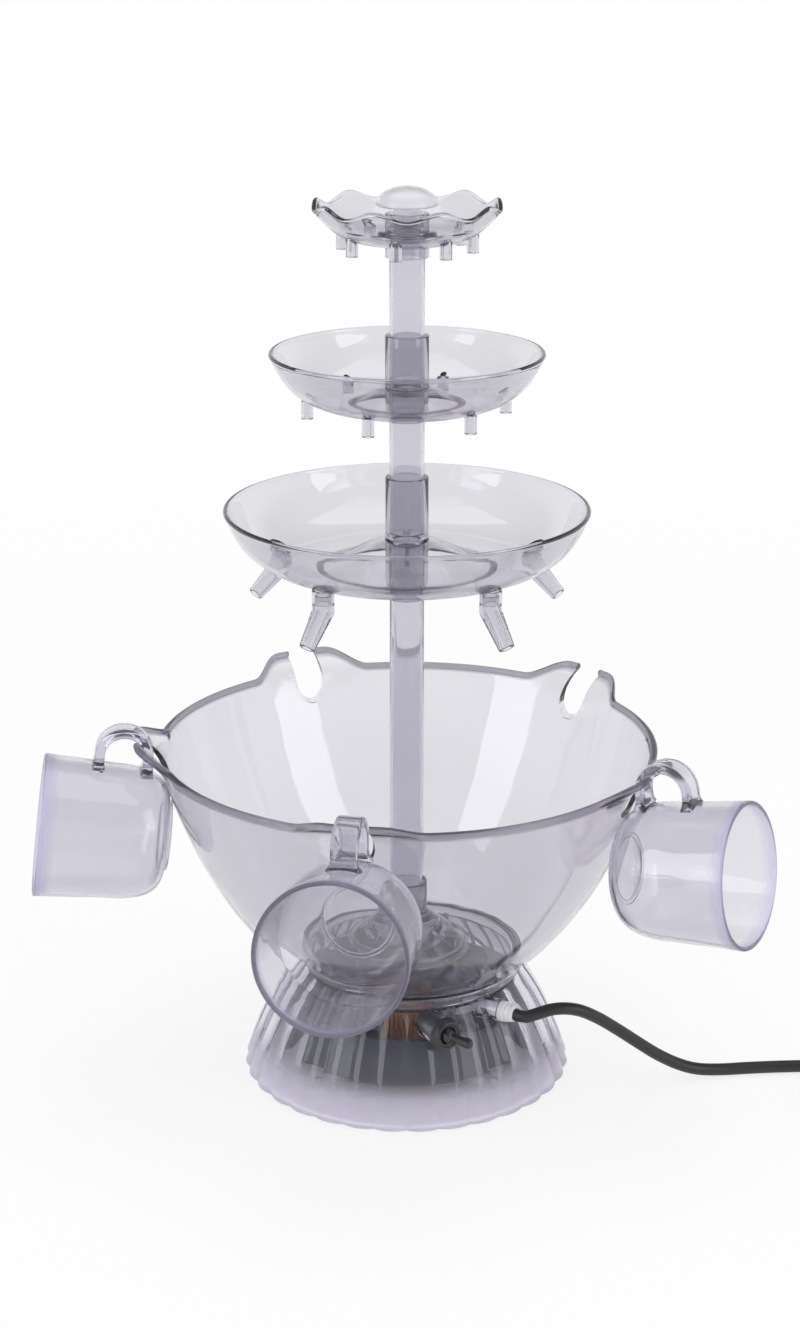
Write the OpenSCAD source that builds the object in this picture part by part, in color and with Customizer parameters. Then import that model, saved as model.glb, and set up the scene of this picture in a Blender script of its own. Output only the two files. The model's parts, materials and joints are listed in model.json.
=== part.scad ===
/* [Base] */
// Height of the rubber feet below the base plate
foot_h = 3; // [2:0.5:6]
// Radius of the fluted cover at its lower edge
base_r = 94; // [90:1:104]
// Height from the table to the neck, where the bowl stands
neck_z = 62; // [60:1:70]
// Radius of the neck
neck_r = 66; // [64:1:70]
// Wall of the fluted cover
base_wall = 2.6; // [2:0.1:3]
// Number of flutes round the cover
flutes = 32; // [24:4:40]
// Depth of a flute
flute_depth = 1.8; // [0.6:0.1:2.4]
// Gap between the cover's lower edge and the table
skirt_gap = 2; // [1:0.5:3]
// Thickness of the base plate
plate_t = 3; // [2:0.5:4]
// Radius of a rubber foot
foot_r = 7; // [5:0.5:9]

/* [Bowl] */
// Radius of the bowl at its rim
bowl_r = 140; // [136:1:150]
// Height of the rim above the neck
bowl_h = 134; // [126:1:142]
// Wall of the bowl
bowl_wall = 3; // [2.4:0.1:3.6]
// Height of the bowl's floor above the neck
floor_h = 10; // [9:0.5:12]
// Thickness of the bowl's floor
floor_t = 4; // [3:0.5:5]
// Radius of the bead along the rim
rim_bead = 2; // [1.6:0.1:2.4]
// Number of cup hooks round the rim
hooks = 5; // [4:1:6]
// Turn of the first hook from the front, in degrees
hook_turn = -10.5; // [-30:0.5:30]
// How far a hook's ear reaches out past the rim
ear_reach = 13; // [11:0.5:15]
// How far an ear rises above the rim
ear_rise = 8.5; // [6:0.5:11]
// Thickness of an ear
ear_t = 2.6; // [2:0.1:3]
// Diameter of the keyhole in an ear
keyhole_d = 18; // [17:0.5:20]
// Width of the keyhole's throat
throat_w = 7.5; // [6.5:0.5:9]

/* [Column] */
// Outside diameter of the tubes
tube_d = 19; // [17:0.5:20]
// Wall of the tubes
tube_wall = 1.8; // [1.4:0.1:2.2]
// Radial clearance of a tube in its socket
tube_fit = 0.1; // [0.05:0.05:0.2]
// Gap under a part that only rests on its seat
seat_gap = 0.2; // [0.1:0.05:0.3]
// Wall of the sockets
hub_wall = 2.2; // [1.8:0.1:2.8]
// Height of the ledge inside a socket
ledge_h = 3; // [2:0.5:4]
// Length of the lower tube
lower_tube_l = 219; // [200:1:240]
// Length of the middle tube
middle_tube_l = 82.5; // [76:0.5:95]
// Length of the upper tube
upper_tube_l = 78.5; // [70:0.5:90]

/* [Tiers] */
// Wall of the tiers
tray_wall = 2.2; // [1.8:0.1:2.8]
// Rim radius of the large tier
large_r = 100; // [95:1:108]
// Depth of the large tier
large_depth = 35; // [30:1:40]
// Rim radius of the middle tier
middle_r = 74; // [70:1:80]
// Depth of the middle tier
middle_depth = 30; // [26:1:34]
// Rim radius of the top tier
top_r = 50; // [47:1:54]
// Depth of the top tier
top_depth = 21; // [19:1:25]
// Number of spouts under the large tier
spouts = 5; // [4:1:6]
// Radius of the circle that the spouts stand on
spout_ring_r = 75; // [72:1:78]
// Length of a spout below its socket
spout_l = 22.5; // [18:0.5:32]
// Lean of a spout from the vertical, in degrees
spout_lean = 40; // [20:1:45]
// Radius of the circle of drip nubs under the middle tier
middle_nub_ring_r = 54; // [50:1:57]
// Radius of the circle of drip nubs under the top tier
top_nub_ring_r = 35; // [33:1:37]
// Number of waves along the top tier's rim
waves = 9; // [7:1:11]
// Depth of a wave
wave_depth = 4; // [2:0.5:5]
// Radius of the cap over the column
cap_r = 16.8; // [14:0.2:20]
// Height of the cap's dome
cap_h = 10; // [8:0.5:12]

/* [Cups] */
// Radius of a cup at its mouth
cup_r = 40; // [38:0.5:42]
// Length of a cup from its foot to its mouth
cup_l = 73; // [68:1:80]
// Wall of a cup
cup_wall = 2.4; // [2:0.1:2.8]
// Radius of a cup's foot ring
cup_foot_r = 20; // [17:0.5:22]
// Width of a cup's handle strap
strap_w = 14; // [11:0.5:15]
// Thickness of the handle strap
strap_t = 5.5; // [4.5:0.1:6]
// Radius of the handle's arch, at the middle of the strap
arch_r = 13.5; // [13:0.1:14.5]
// Height of the arch's centre over the cup's axis
arch_up = 46; // [45:0.5:48]
// Distance of the arch's centre from the cup's foot
arch_along = 30; // [28:0.5:31]
// Tilt of a hanging cup, mouth up, in degrees
cup_tilt = 8; // [7:0.5:10]
// Clearance of the strap in its hook
hook_gap = 0.3; // [0.25:0.05:0.5]

/* [Pump] */
// Radius of the pump cover's foot
pump_r = 36; // [32:1:42]
// Height of the pump cover, up to the seat of the tube
pump_h = 25; // [24:1:30]
// Length of the pump cover's tube socket
pump_socket_l = 16; // [12:1:20]
// Radius of the motor shaft
shaft_r = 3; // [2.5:0.1:3.5]
// Radial clearance of the shaft in its bearings
shaft_fit = 0.05; // [0.02:0.01:0.08]
// Radius of the impeller
impeller_r = 18; // [14:0.5:22]
// Height of the impeller's blades
impeller_h = 9; // [6:0.5:11]
// Number of impeller blades
blades = 6; // [4:1:8]
// Radius of the rotor
rotor_r = 13; // [11:0.5:14]
// Thickness of the stator stack
stack_t = 12; // [10:0.5:13]

/* [Switch and cord] */
// Radius of the switch bezel
bezel_r = 9.5; // [9:0.1:10]
// Length of the switch lever
lever_l = 15; // [12:0.5:18]
// Diameter of the cord
cord_d = 7; // [6:0.1:7]
// Loops in the coil's lower layer
lower_loops = 2; // [2:1:3]
// Width of the plug
plug_w = 26; // [22:1:30]
// Length of the plug's body
plug_l = 32; // [28:1:38]

/* [Hidden] */
$fn = 96;
eps = 0.01;
clear_tint = [0.84, 0.83, 0.9, 0.5];
frost_tint = [0.78, 0.77, 0.85, 0.6];

// Base: levels and radii shared by the cover, the plate and the screws
plate_z = foot_h;
plate_top = plate_z + plate_t;
plate_gap = 0.3;
cover_in = flute_depth + base_wall;
post_ring_r = 74;
post_r = 4;
screw_r = 1.5;
screw_head_r = 3;
screw_head_h = 2;
screw_fit = 0.1;
plate_screw_l = 14;
foot_ring_r = 78;
vents = 12;
vent_ring_r = 45;
vent_r = 2.5;
flange_w = 18;
flange_r = neck_r - flange_w;
bowl_screw_in = 10;
bowl_screw_ring_r = neck_r - bowl_screw_in;
bowl_screw_l = 7;
bowl_screw_turn = 65;
flute_steps = 4;
cover_rings = 9;

// Bowl: levels, and the hook that the cups hang on
floor_z = neck_z + floor_h;
rim_z = neck_z + bowl_h;
bowl_foot_w = 4;
rim_mid = bowl_r - bowl_wall / 2;
ear_run = ear_reach + bowl_wall / 2;
ear_slope = atan2(ear_rise, ear_run);
ear_round = 40;
ear_round_in = 24;
keyhole_out = 3;
keyhole_up = 1;
keyhole_lean = 37;
arch_in_r = arch_r - strap_t / 2;
arch_out_r = arch_r + strap_t / 2;
lip_in = 2;
lip_out = ear_reach - lip_in;
cup_lean_gap = 0.4;
strap_side_gap = 0.5;
cup_foot_h = 1.5;
cup_foot_w = 2.2;
hook_step = 360 / hooks;

side_foot_out = 4;
side_low_out = 30;
side_low_up = 28;
side_top_in = 14;
side_top_down = 58;

// Column: each level stands on the one below it
tube_r = tube_d / 2;
tube_in_r = tube_r - tube_wall;
hub_in_r = tube_r + tube_fit;
hub_r = hub_in_r + hub_wall;
pump_seat = floor_z + pump_h;
large_ledge = pump_seat + lower_tube_l + seat_gap;
middle_seat = large_ledge + ledge_h + seat_gap;
middle_ledge = middle_seat + middle_tube_l;
upper_seat = middle_ledge + ledge_h + seat_gap;
top_ledge = upper_seat + upper_tube_l;
cap_seat = top_ledge + ledge_h + seat_gap;

// Tiers: the bottom of each tray below its ledge, and the reach of its hub below and above the ledge
large_drop = 19;
large_hub_down = 34;
large_hub_up = 34;
large_flat_r = 46;
large_dome_r = 50;
large_dome_h = 17;
middle_drop = 14;
middle_hub_down = 20;
middle_hub_up = 26;
middle_flat_r = 28;
middle_dome_r = 32;
middle_dome_h = 12;
top_drop = 7;
top_hub_down = 14;
top_hub_up = 9;
top_flat_r = 18;
top_dome_r = 20;
top_dome_h = 5;
socket_r = 6;
socket_bore_r = 4.7;
socket_l = 0.5;
socket_in = 7;
spout_fit = 0.1;
spout_bore_r = 3;
spout_tip_r = 4.3;
spout_tip_bore_r = 2.6;
spout_turn = -36;
spout_collar_h = 4;
spigot_l = 4.5;
middle_nubs = 6;
middle_nub_turn = -22;
top_nubs = 8;
top_nub_turn = -10;
nub_r = 3.3;
nub_bore_r = 1.8;
nub_l = 4;
nub_in = 6;
cap_fit = 0.1;
legs = 4;
stem_h = 6;
cap_lift = 4;
cap_wall = 2;

// Motor: the stator stands in the motor tray, and the shaft runs in two bearings
tray_out = 2;
tray_r = neck_r + tray_out;
tray_skirt_z = 16;
tray_floor_z = 26;
tray_floor_t = 3;
tray_wall_t = 2.5;
tray_wall_top = 44;
tray_top = tray_floor_z + tray_floor_t;
pedestal_r = 27;
stack_z = 38;
stack_top = stack_z + stack_t;
core_half = 30;
core_back = 18;
core_front = 42;
core_leg = 12;
rotor_gap = 0.5;
window_half = 16;
window_in = rotor_r + rotor_gap + 3;
coil_half = 14;
coil_wrap = 7;
coil_fit = 0.2;
coil_round = 5;
bridge_half = 29;
bridge_w = 14;
bridge_z = 54;
bridge_t = 3;
bearing_r = 6;
bearing_h = 6;
bearing_lip = 2;
motor_screw_x = 26;
motor_post_r = 3.8;
rotor_over = 1;
shaft_low = 24;
shaft_seat_fit = 0.02;
seal_r = 7;
seal_up = 2;
impeller_lift = 4.5;
hub_blade_r = 6;
blade_t = 2;
blade_disc_t = 2;
shaft_top = floor_z + impeller_lift + impeller_h;
terminal_in = 15.7;
terminal_turn = 49;
terminal_x = (neck_r - terminal_in) * sin(terminal_turn);
terminal_y = -(neck_r - terminal_in) * cos(terminal_turn);
terminal_size = [14, 10, 8];

// Switch and gland: places on the cover
switch_turn = 15.5;
switch_stand = 12;
switch_out = neck_r + switch_stand;
switch_z = 53;
switch_aim = 35;
switch_boss_r = 8.6;
switch_body_r = 6;
switch_body_l = 17;
switch_fit = 0.2;
switch_recess = 2;
boss_in = 14;
spot_face_l = 20;
spot_face_gap = 0.3;
bezel_t = 5;
bezel_hole_r = 5;
lever_ball_r = 4.4;
lever_ball_half = 3.2;
lever_pin_r = 1.5;
lever_pin_gap = 0.35;
lever_rest = 13;
lever_neck_r = 2.2;
lever_tip_r = 3;
lever_ball_out = 3;
gland_turn = 46;
gland_stand = 7.5;
gland_out = neck_r + gland_stand;
gland_z = 55;
gland_aim = 60;
gland_boss_r = 6.4;
gland_bore_r = 4.2;
gland_fit = 0.1;
gland_r = 5.8;
gland_nose_r = 4.6;
gland_flange_l = 4;
gland_l = 9;
gland_sleeve_l = 12;
gland_way = [sin(gland_aim), -cos(gland_aim), 0];
gland_tip = [gland_out * sin(gland_turn), -gland_out * cos(gland_turn), gland_z] + gland_l * gland_way;

// Cord: route of the free stretch, from the gland to the coil, at the middle of the cord
cord_route = concat([gland_tip, gland_tip + cord_d * gland_way], [[82, -58.5, 59.5], [95, -55, 57.5],
    [107, -49.5, 50], [119, -44, 40], [131, -39, 29.5], [143, -34.5, 19.5], [155, -30.5, 11.5], [167, -27, 6.2],
    [181, -23.8, 4], [197, -21.2, 3.6], [214, -19.6, 3.6], [231, -19, 3.8], [248, -18.8, 4.2], [266, -18.8, 4.5],
    [283, -18.8, 4.5]]);
coil_x = 290;
coil_y = -64;
coil_in_r = 30;
coil_step = 7.6;
coil_dip = 1.2;
coil_lift = 4.5;
loop_rings = 24;
upper_loops = lower_loops + 0.5;
coil_start_r = coil_in_r + lower_loops * coil_step;
coil_end_r = coil_in_r + upper_loops * coil_step;
tail_route = [[297, -15, 12.1], [309, -15, 11.9], [322, -14.5, 10.8], [335, -14.2, 9.6], [348, -14, 9]];
plug_x = 348;
plug_y = -14;
plug_z = 9;
plug_round = 8;
blade_gap = 12.7;
blade_w = 6.3;
blade_l = 17;
blade_sheet = 1.5;
tie_w = 5;
tie_t = 0.8;
tie_gap = 0.4;

function bezier(a, b, c, d, t) =
    pow(1 - t, 3) * a + 3 * t * pow(1 - t, 2) * b + 3 * t * t * (1 - t) * c + pow(t, 3) * d;
function curve(a, b, c, d, n) = [for (i = [0 : n]) bezier(a, b, c, d, i / n)];
function reversed(p) = [for (i = [len(p) - 1 : -1 : 0]) p[i]];
function unit(v) = v / norm(v);
function along(p, i) = unit(p[min(i + 1, len(p) - 1)] - p[max(i - 1, 0)]);
function inset(p, w) = [for (i = [0 : len(p) - 1]) p[i] + w * [-along(p, i)[1], along(p, i)[0]]];

// A tube swept along points, with its faces ordered outwards
function ring_points(p, i, r, sides) =
    let (t = along(p, i), s = unit(cross(t, [0, 0, 1])), u = cross(s, t))
    [for (k = [0 : sides - 1]) p[i] + r * (cos(360 * k / sides) * s + sin(360 * k / sides) * u)];

module sweep(p, r, sides) {
    n = len(p);
    points = [for (i = [0 : n - 1]) each ring_points(p, i, r, sides)];
    skin = [for (i = [0 : n - 2], k = [0 : sides - 1])
        let (a = i * sides + k, b = i * sides + (k + 1) % sides)
        each [[a, b, b + sides], [a, b + sides, a + sides]]];
    start = [for (k = [sides - 1 : -1 : 0]) k];
    end = [for (k = [0 : sides - 1]) (n - 1) * sides + k];
    polyhedron(points = points, faces = concat(skin, [start, end]));
}

module ring(r_out, r_in, z0, z1) {
    rotate_extrude()
        translate([r_in, z0])
            square([r_out - r_in, z1 - z0]);
}

module around(count, turn, radius) {
    for (i = [0 : count - 1])
        rotate([0, 0, turn + i * 360 / count])
            translate([0, -radius, 0])
                children();
}

module screw(head_z, length) {
    translate([0, 0, head_z])
        cylinder(r = screw_head_r, h = screw_head_h);
    translate([0, 0, head_z + screw_head_h - eps])
        cylinder(r = screw_r, h = length + eps);
}

module rounded_bar(w, h, r, l) {
    linear_extrude(l)
        union() {
            square([w - 2 * r, h], center = true);
            square([w, h - 2 * r], center = true);
            for (x = [-1, 1], y = [-1, 1])
                translate([x * (w / 2 - r), y * (h / 2 - r)])
                    circle(r);
        }
}

// Base cover
cover_curve = curve([base_r, skirt_gap], [base_r - 6, skirt_gap + 18], [neck_r + 15, neck_z - 20],
    [neck_r, neck_z], cover_rings - 1);
cavity_curve = [for (p = cover_curve) [p[0] - cover_in, p[1]]];

module fluted_dome() {
    count = flutes * flute_steps;
    bulge = [for (k = [0 : flute_steps - 1]) flute_depth * (1 - pow(2 * k / flute_steps - 1, 2))];
    points = [for (p = cover_curve, k = [0 : count - 1])
        let (r = p[0] - flute_depth + bulge[k % flute_steps], a = 360 * k / count)
        [r * cos(a), r * sin(a), p[1]]];
    skin = [for (j = [0 : cover_rings - 2], k = [0 : count - 1])
        let (a = j * count + k, b = j * count + (k + 1) % count)
        each [[a, a + count, b + count], [a, b + count, b]]];
    bottom = [for (k = [0 : count - 1]) k];
    top = [for (k = [count - 1 : -1 : 0]) (cover_rings - 1) * count + k];
    polyhedron(points = points, faces = concat(skin, [bottom, top]));
}

module cover_cavity() {
    inside = [for (p = cavity_curve) if (p[1] < neck_z - base_wall) p];
    last = inside[len(inside) - 1];
    rotate_extrude()
        polygon(concat([[0, skirt_gap - 1], [inside[0][0], skirt_gap - 1]], inside,
            [[last[0] - 2, neck_z - base_wall], [0, neck_z - base_wall]]));
}

module switch_axis() {
    translate([switch_out * sin(switch_turn), -switch_out * cos(switch_turn), switch_z])
        rotate([90, 0, switch_aim])
            children();
}

module gland_axis() {
    translate([gland_out * sin(gland_turn), -gland_out * cos(gland_turn), gland_z])
        rotate([90, 0, gland_aim])
            children();
}

module base_cover() color(frost_tint) difference() {
    union() {
        difference() {
            fluted_dome();
            difference() {
                cover_cavity();
                around(4, 45, post_ring_r)
                    translate([0, 0, plate_top])
                        cylinder(r = post_r, h = neck_z);
            }
        }
        switch_axis()
            translate([0, 0, -boss_in])
                cylinder(r = switch_boss_r, h = boss_in);
        gland_axis()
            translate([0, 0, -boss_in])
                cylinder(r = gland_boss_r, h = boss_in);
    }
    around(4, 45, post_ring_r)
        translate([0, 0, plate_top - eps])
            cylinder(r = screw_r + screw_fit, h = plate_screw_l);
    around(4, bowl_screw_turn, bowl_screw_ring_r)
        translate([0, 0, neck_z - base_wall - 1])
            cylinder(r = screw_r + screw_fit, h = base_wall + 2);
    translate([0, 0, neck_z - base_wall - 1])
        cylinder(r = flange_r, h = base_wall + 2);
    switch_axis()
        translate([0, 0, -boss_in - 12])
            cylinder(r = switch_body_r + switch_fit, h = boss_in + 13);
    gland_axis()
        translate([0, 0, -boss_in - 12])
            cylinder(r = gland_bore_r, h = boss_in + 13);
    switch_axis()
        cylinder(r = bezel_r + spot_face_gap, h = spot_face_l);
    gland_axis()
        cylinder(r = gland_r + spot_face_gap, h = spot_face_l);
}

module base_plate() color([0.75, 0.74, 0.8]) difference() {
    translate([0, 0, plate_z])
        cylinder(r = lookup(plate_top, [for (p = cavity_curve) [p[1], p[0]]]) - plate_gap, h = plate_t);
    around(4, 45, post_ring_r)
        translate([0, 0, plate_z - 1])
            cylinder(r = screw_r + screw_fit, h = plate_t + 2);
    around(vents, 180 / vents, vent_ring_r)
        translate([0, 0, plate_z - 1])
            cylinder(r = vent_r, h = plate_t + 2);
}

module feet() color([0.15, 0.15, 0.16]) {
    cylinder(r = foot_r, h = foot_h);
    around(4, 0, foot_ring_r)
        cylinder(r = foot_r, h = foot_h);
}

module plate_screws() color("silver")
    around(4, 45, post_ring_r)
        screw(plate_z - screw_head_h, plate_screw_l - 3);

module bowl_screws() color("silver")
    around(4, bowl_screw_turn, bowl_screw_ring_r)
        screw(neck_z - base_wall - screw_head_h, bowl_screw_l);

// Motor and pump
module motor_tray() color([0.1, 0.11, 0.17]) difference() {
    union() {
        ring(tray_r, shaft_r + 1, tray_floor_z, tray_top);
        ring(tray_r, tray_r - tray_wall_t, tray_skirt_z, tray_wall_top);
        ring(pedestal_r, pedestal_r - tray_wall_t, plate_top, tray_floor_z + eps);
        ring(bearing_r + 2.5, bearing_r + shaft_seat_fit, tray_top - eps, tray_top + bearing_h - 1);
        for (s = [-1, 1])
            translate([s * motor_screw_x, 0, tray_top - eps])
                cylinder(r = motor_post_r, h = stack_z - tray_top + eps);
        translate([terminal_x, terminal_y, tray_top - eps])
            cylinder(r = 4, h = tray_wall_top + 2 - tray_top + eps);
    }
    for (s = [-1, 1])
        translate([s * motor_screw_x, 0, tray_top + 1])
            cylinder(r = screw_r + screw_fit, h = stack_z);
}

module stator_core() color([0.5, 0.5, 0.52]) difference() {
    translate([-core_half, -core_front, stack_z])
        cube([2 * core_half, core_front + core_back, stack_t]);
    translate([0, 0, stack_z - 1])
        cylinder(r = rotor_r + rotor_gap, h = stack_t + 2);
    translate([-window_half, -core_front + core_leg, stack_z - 1])
        cube([2 * window_half, core_front - core_leg - window_in, stack_t + 2]);
    for (s = [-1, 1])
        translate([s * motor_screw_x, 0, stack_z - 1])
            cylinder(r = screw_r + screw_fit, h = stack_t + 2);
}

module motor_coil() color([0.55, 0.3, 0.16])
    translate([-coil_half, -core_front + core_leg / 2, stack_z + stack_t / 2])
        rotate([90, 0, 90])
            difference() {
                rounded_bar(core_leg + 2 * coil_wrap - 1, stack_t + 2 * coil_wrap, coil_round, 2 * coil_half);
                translate([-core_leg / 2 - coil_fit, -stack_t / 2 - coil_fit, -1])
                    cube([core_leg + 2 * coil_fit, stack_t + 2 * coil_fit, 2 * coil_half + 2]);
            }

module motor_bridge() color([0.7, 0.71, 0.73]) difference() {
    union() {
        translate([-bridge_half, -bridge_w / 2, bridge_z])
            cube([2 * bridge_half, bridge_w, bridge_t]);
        for (s = [-1, 1])
            translate([s * motor_screw_x - 3, -bridge_w / 2, stack_top])
                cube([6, bridge_w, bridge_z - stack_top + eps]);
    }
    translate([0, 0, bridge_z - 1])
        cylinder(r = bearing_r + shaft_seat_fit, h = bridge_t + 2);
    for (s = [-1, 1])
        translate([s * motor_screw_x, 0, stack_top - 1])
            cylinder(r = screw_r + screw_fit, h = bridge_z);
}

module motor_screws() color("silver")
    for (s = [-1, 1])
        translate([s * motor_screw_x, 0, bridge_z + bridge_t + screw_head_h])
            rotate([180, 0, 0])
                screw(0, bridge_z + bridge_t - tray_top - 2);

module bearing(z) {
    ring(bearing_r, shaft_r + shaft_fit, z, z + bearing_h);
}

module lower_bearing() color([0.72, 0.55, 0.25])
    bearing(tray_top);

module upper_bearing() color([0.72, 0.55, 0.25])
    bearing(bridge_z - bearing_lip);

module motor_rotor() color([0.62, 0.62, 0.64])
    ring(rotor_r, shaft_r + shaft_seat_fit, stack_z - rotor_over, stack_top + rotor_over);

module motor_shaft() color([0.8, 0.8, 0.82])
    translate([0, 0, shaft_low])
        cylinder(r = shaft_r, h = shaft_top - shaft_low);

module shaft_seal() color([0.12, 0.12, 0.13])
    ring(seal_r - shaft_seat_fit, shaft_r + shaft_fit, floor_z - floor_t - seal_up, floor_z + seal_up);

module impeller() color([0.85, 0.85, 0.9]) {
    z = floor_z + impeller_lift;
    ring(hub_blade_r, shaft_r + shaft_seat_fit, z, z + impeller_h);
    ring(impeller_r, hub_blade_r - eps, z, z + blade_disc_t);
    around(blades, 0, 0)
        translate([-blade_t / 2, -impeller_r + 0.5, z + blade_disc_t - eps])
            cube([blade_t, impeller_r - hub_blade_r, impeller_h - blade_disc_t]);
}

module pump_cover() color(clear_tint) difference() {
    rotate_extrude()
        polygon([[pump_r, floor_z + seat_gap], [pump_r, floor_z + 4], [pump_r - 3, floor_z + 5],
            [hub_r + 1, pump_seat - 3], [hub_r, pump_seat], [hub_r, pump_seat + pump_socket_l],
            [hub_in_r, pump_seat + pump_socket_l], [hub_in_r, pump_seat], [tube_in_r, pump_seat],
            [tube_in_r, pump_seat - 3], [impeller_r + 2, shaft_top + 3], [impeller_r + 2, floor_z + 4],
            [pump_r - 3, floor_z + 3], [pump_r - 3, floor_z + seat_gap]]);
    around(8, 12, pump_r - 6)
        translate([0, 0, floor_z + 9])
            rotate([90, 0, 0])
                cylinder(r = 2, h = 20, center = true);
}

module terminal_block() color([0.62, 0.63, 0.65])
    translate([terminal_x - terminal_size[0] / 2, terminal_y - terminal_size[1] / 2, tray_wall_top + 2])
        difference() {
            cube(terminal_size);
            for (x = [0.27, 0.73])
                translate([x * terminal_size[0], terminal_size[1] / 2, 3])
                    cylinder(r = 1.8, h = terminal_size[2]);
        }

// Switch, gland, cord and plug
module switch_body() color([0.1, 0.1, 0.11])
    switch_axis()
        translate([0, 0, -switch_body_l - switch_recess])
            cylinder(r = switch_body_r, h = switch_body_l);

module switch_bezel() color([0.08, 0.08, 0.09])
    switch_axis()
        difference() {
            union() {
                cylinder(r1 = bezel_r, r2 = bezel_r - 1.5, h = bezel_t);
                translate([0, 0, -switch_recess])
                    cylinder(r = switch_body_r, h = switch_recess + eps);
            }
            translate([0, 0, -switch_recess - 1])
                cylinder(r = bezel_hole_r, h = bezel_t + switch_recess + 2);
        }

module switch_lever() color([0.07, 0.07, 0.08])
    switch_axis()
        translate([0, 0, lever_ball_out])
            rotate([0, lever_rest, 0]) {
                intersection() {
                    sphere(lever_ball_r);
                    cube([3 * lever_ball_r, 2 * lever_ball_half, 3 * lever_ball_r], center = true);
                }
                rotate([90, 0, 0])
                    cylinder(r = lever_pin_r, h = 2 * (bezel_hole_r - lever_pin_gap), center = true);
                cylinder(r1 = lever_neck_r, r2 = lever_tip_r, h = lever_l);
                translate([0, 0, lever_l])
                    sphere(lever_tip_r);
            }

module cord_gland() color([0.95, 0.95, 0.95])
    gland_axis() {
        cylinder(r = gland_r, h = gland_flange_l);
        translate([0, 0, gland_flange_l - eps])
            cylinder(r1 = gland_r, r2 = gland_nose_r, h = gland_l - gland_flange_l + eps);
        translate([0, 0, -gland_sleeve_l])
            cylinder(r = gland_bore_r - gland_fit, h = gland_sleeve_l + eps);
    }

module cord() color([0.09, 0.09, 0.1])
    sweep(cord_route, cord_d / 2, 10);

// Coil: in along the lower layer, up a layer in half a turn, and out along the upper one
coil_turns = lower_loops + 0.5 + upper_loops;
function coil_radius(t) =
    t < lower_loops ? coil_start_r - t * coil_step
    : t < lower_loops + 0.5 ? coil_in_r - coil_dip * sin(180 * coil_climb(t))
    : coil_in_r + (t - lower_loops - 0.5) * coil_step;
function coil_climb(t) = min(1, max(0, (t - lower_loops) / 0.5));
function coil_point(t) = [coil_x + coil_radius(t) * sin(360 * t), coil_y + coil_radius(t) * cos(360 * t),
    coil_lift + coil_step * (1 - cos(180 * coil_climb(t))) / 2];
coil_start = coil_point(0);
coil_end = coil_point(coil_turns);
coil_route = concat([coil_start - [cord_d, 0, 0]],
    [for (i = [0 : coil_turns * loop_rings]) coil_point(i / loop_rings)], [coil_end + [cord_d, 0, 0]]);
coil_gap = min([for (i = [0 : len(coil_route) - 1], j = [i + loop_rings / 2 : len(coil_route) - 1])
    norm(coil_route[i] - coil_route[j])]) - cord_d;
echo(coil_gap = coil_gap);

module cord_coil() color([0.09, 0.09, 0.1])
    sweep(coil_route, cord_d / 2, 6);

module cord_tail() color([0.09, 0.09, 0.1])
    sweep(tail_route, cord_d / 2, 10);

module coil_tie() color([0.85, 0.85, 0.86]) {
    inner = coil_in_r - cord_d / 2 - tie_gap;
    outer = coil_end_r - coil_step / 2 + cord_d / 2 + tie_gap;
    top = coil_lift + coil_step + cord_d / 2 + tie_gap;
    translate([coil_x, coil_y, 0])
        rotate([0, 0, 180])
            translate([-tie_w / 2, 0, 0])
                difference() {
                    translate([0, inner - tie_t, 0])
                        cube([tie_w, outer - inner + 2 * tie_t, top + tie_t]);
                    translate([-1, inner, tie_t])
                        cube([tie_w + 2, outer - inner, top - tie_t]);
                }
}

module plug_body() color([0.09, 0.09, 0.1])
    translate([plug_x, plug_y, plug_z])
        rotate([90, 0, 90])
            rounded_bar(plug_w, 2 * plug_z, plug_round, plug_l);

module plug_blades() color([0.8, 0.74, 0.5])
    for (s = [-1, 1])
        translate([plug_x + plug_l, plug_y + s * blade_gap / 2 - blade_sheet / 2, plug_z - blade_w / 2])
            cube([blade_l, blade_sheet, blade_w]);

// Bowl
bowl_side = curve([neck_r + side_foot_out, floor_z], [neck_r + side_low_out, neck_z + side_low_up],
    [bowl_r - side_top_in, rim_z - side_top_down], [bowl_r, rim_z], 16);

// Cup: its outline from the foot to the mouth, as radius and distance along its axis
cup_side = concat(curve([cup_foot_r, cup_foot_h], [cup_r - 5, 2], [cup_r - 2, 15], [cup_r - 2, 34], 10),
    [[cup_r, cup_l]]);

// Place of a handle's arch on the bowl: as far out as lets the cup's side lean on the bowl's side
function from_arch(p) = (p[1] - arch_along) * cos(cup_tilt) - (p[0] - arch_up) * sin(cup_tilt);
function lean_z(p) = rim_z + (p[1] - arch_along) * sin(cup_tilt) + (p[0] - arch_up) * cos(cup_tilt);
bowl_radii = [for (p = bowl_side) [p[1], p[0]]];
arch_ring_r = max([for (p = cup_side) lookup(lean_z(p), bowl_radii) + cup_lean_gap - from_arch(p)]);
arch_out = arch_ring_r - bowl_r;
lip_top = rim_z + tan(ear_slope) * (lip_out + bowl_wall / 2) + ear_t / 2 / cos(ear_slope) + hook_gap;
arch_z = lip_top - sqrt(pow(arch_in_r, 2) - pow(arch_out - lip_out, 2));
echo(arch_ring_r = arch_ring_r, arch_z = arch_z);

module keyholes() {
    around(hooks, hook_turn, 0) {
        translate([0, -bowl_r - keyhole_out, rim_z + keyhole_up])
            rotate([-keyhole_lean - 90, 0, 0]) {
                cylinder(r = keyhole_d / 2, h = 40, center = true);
                translate([-throat_w / 2, -30, -20])
                    cube([throat_w, 30, 40]);
            }
        translate([0, -arch_ring_r, arch_z])
            rotate([0, 90, 0])
                ring(arch_out_r + hook_gap, arch_in_r - hook_gap, -strap_w / 2 - strap_side_gap,
                    strap_w / 2 + strap_side_gap);
    }
}

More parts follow.
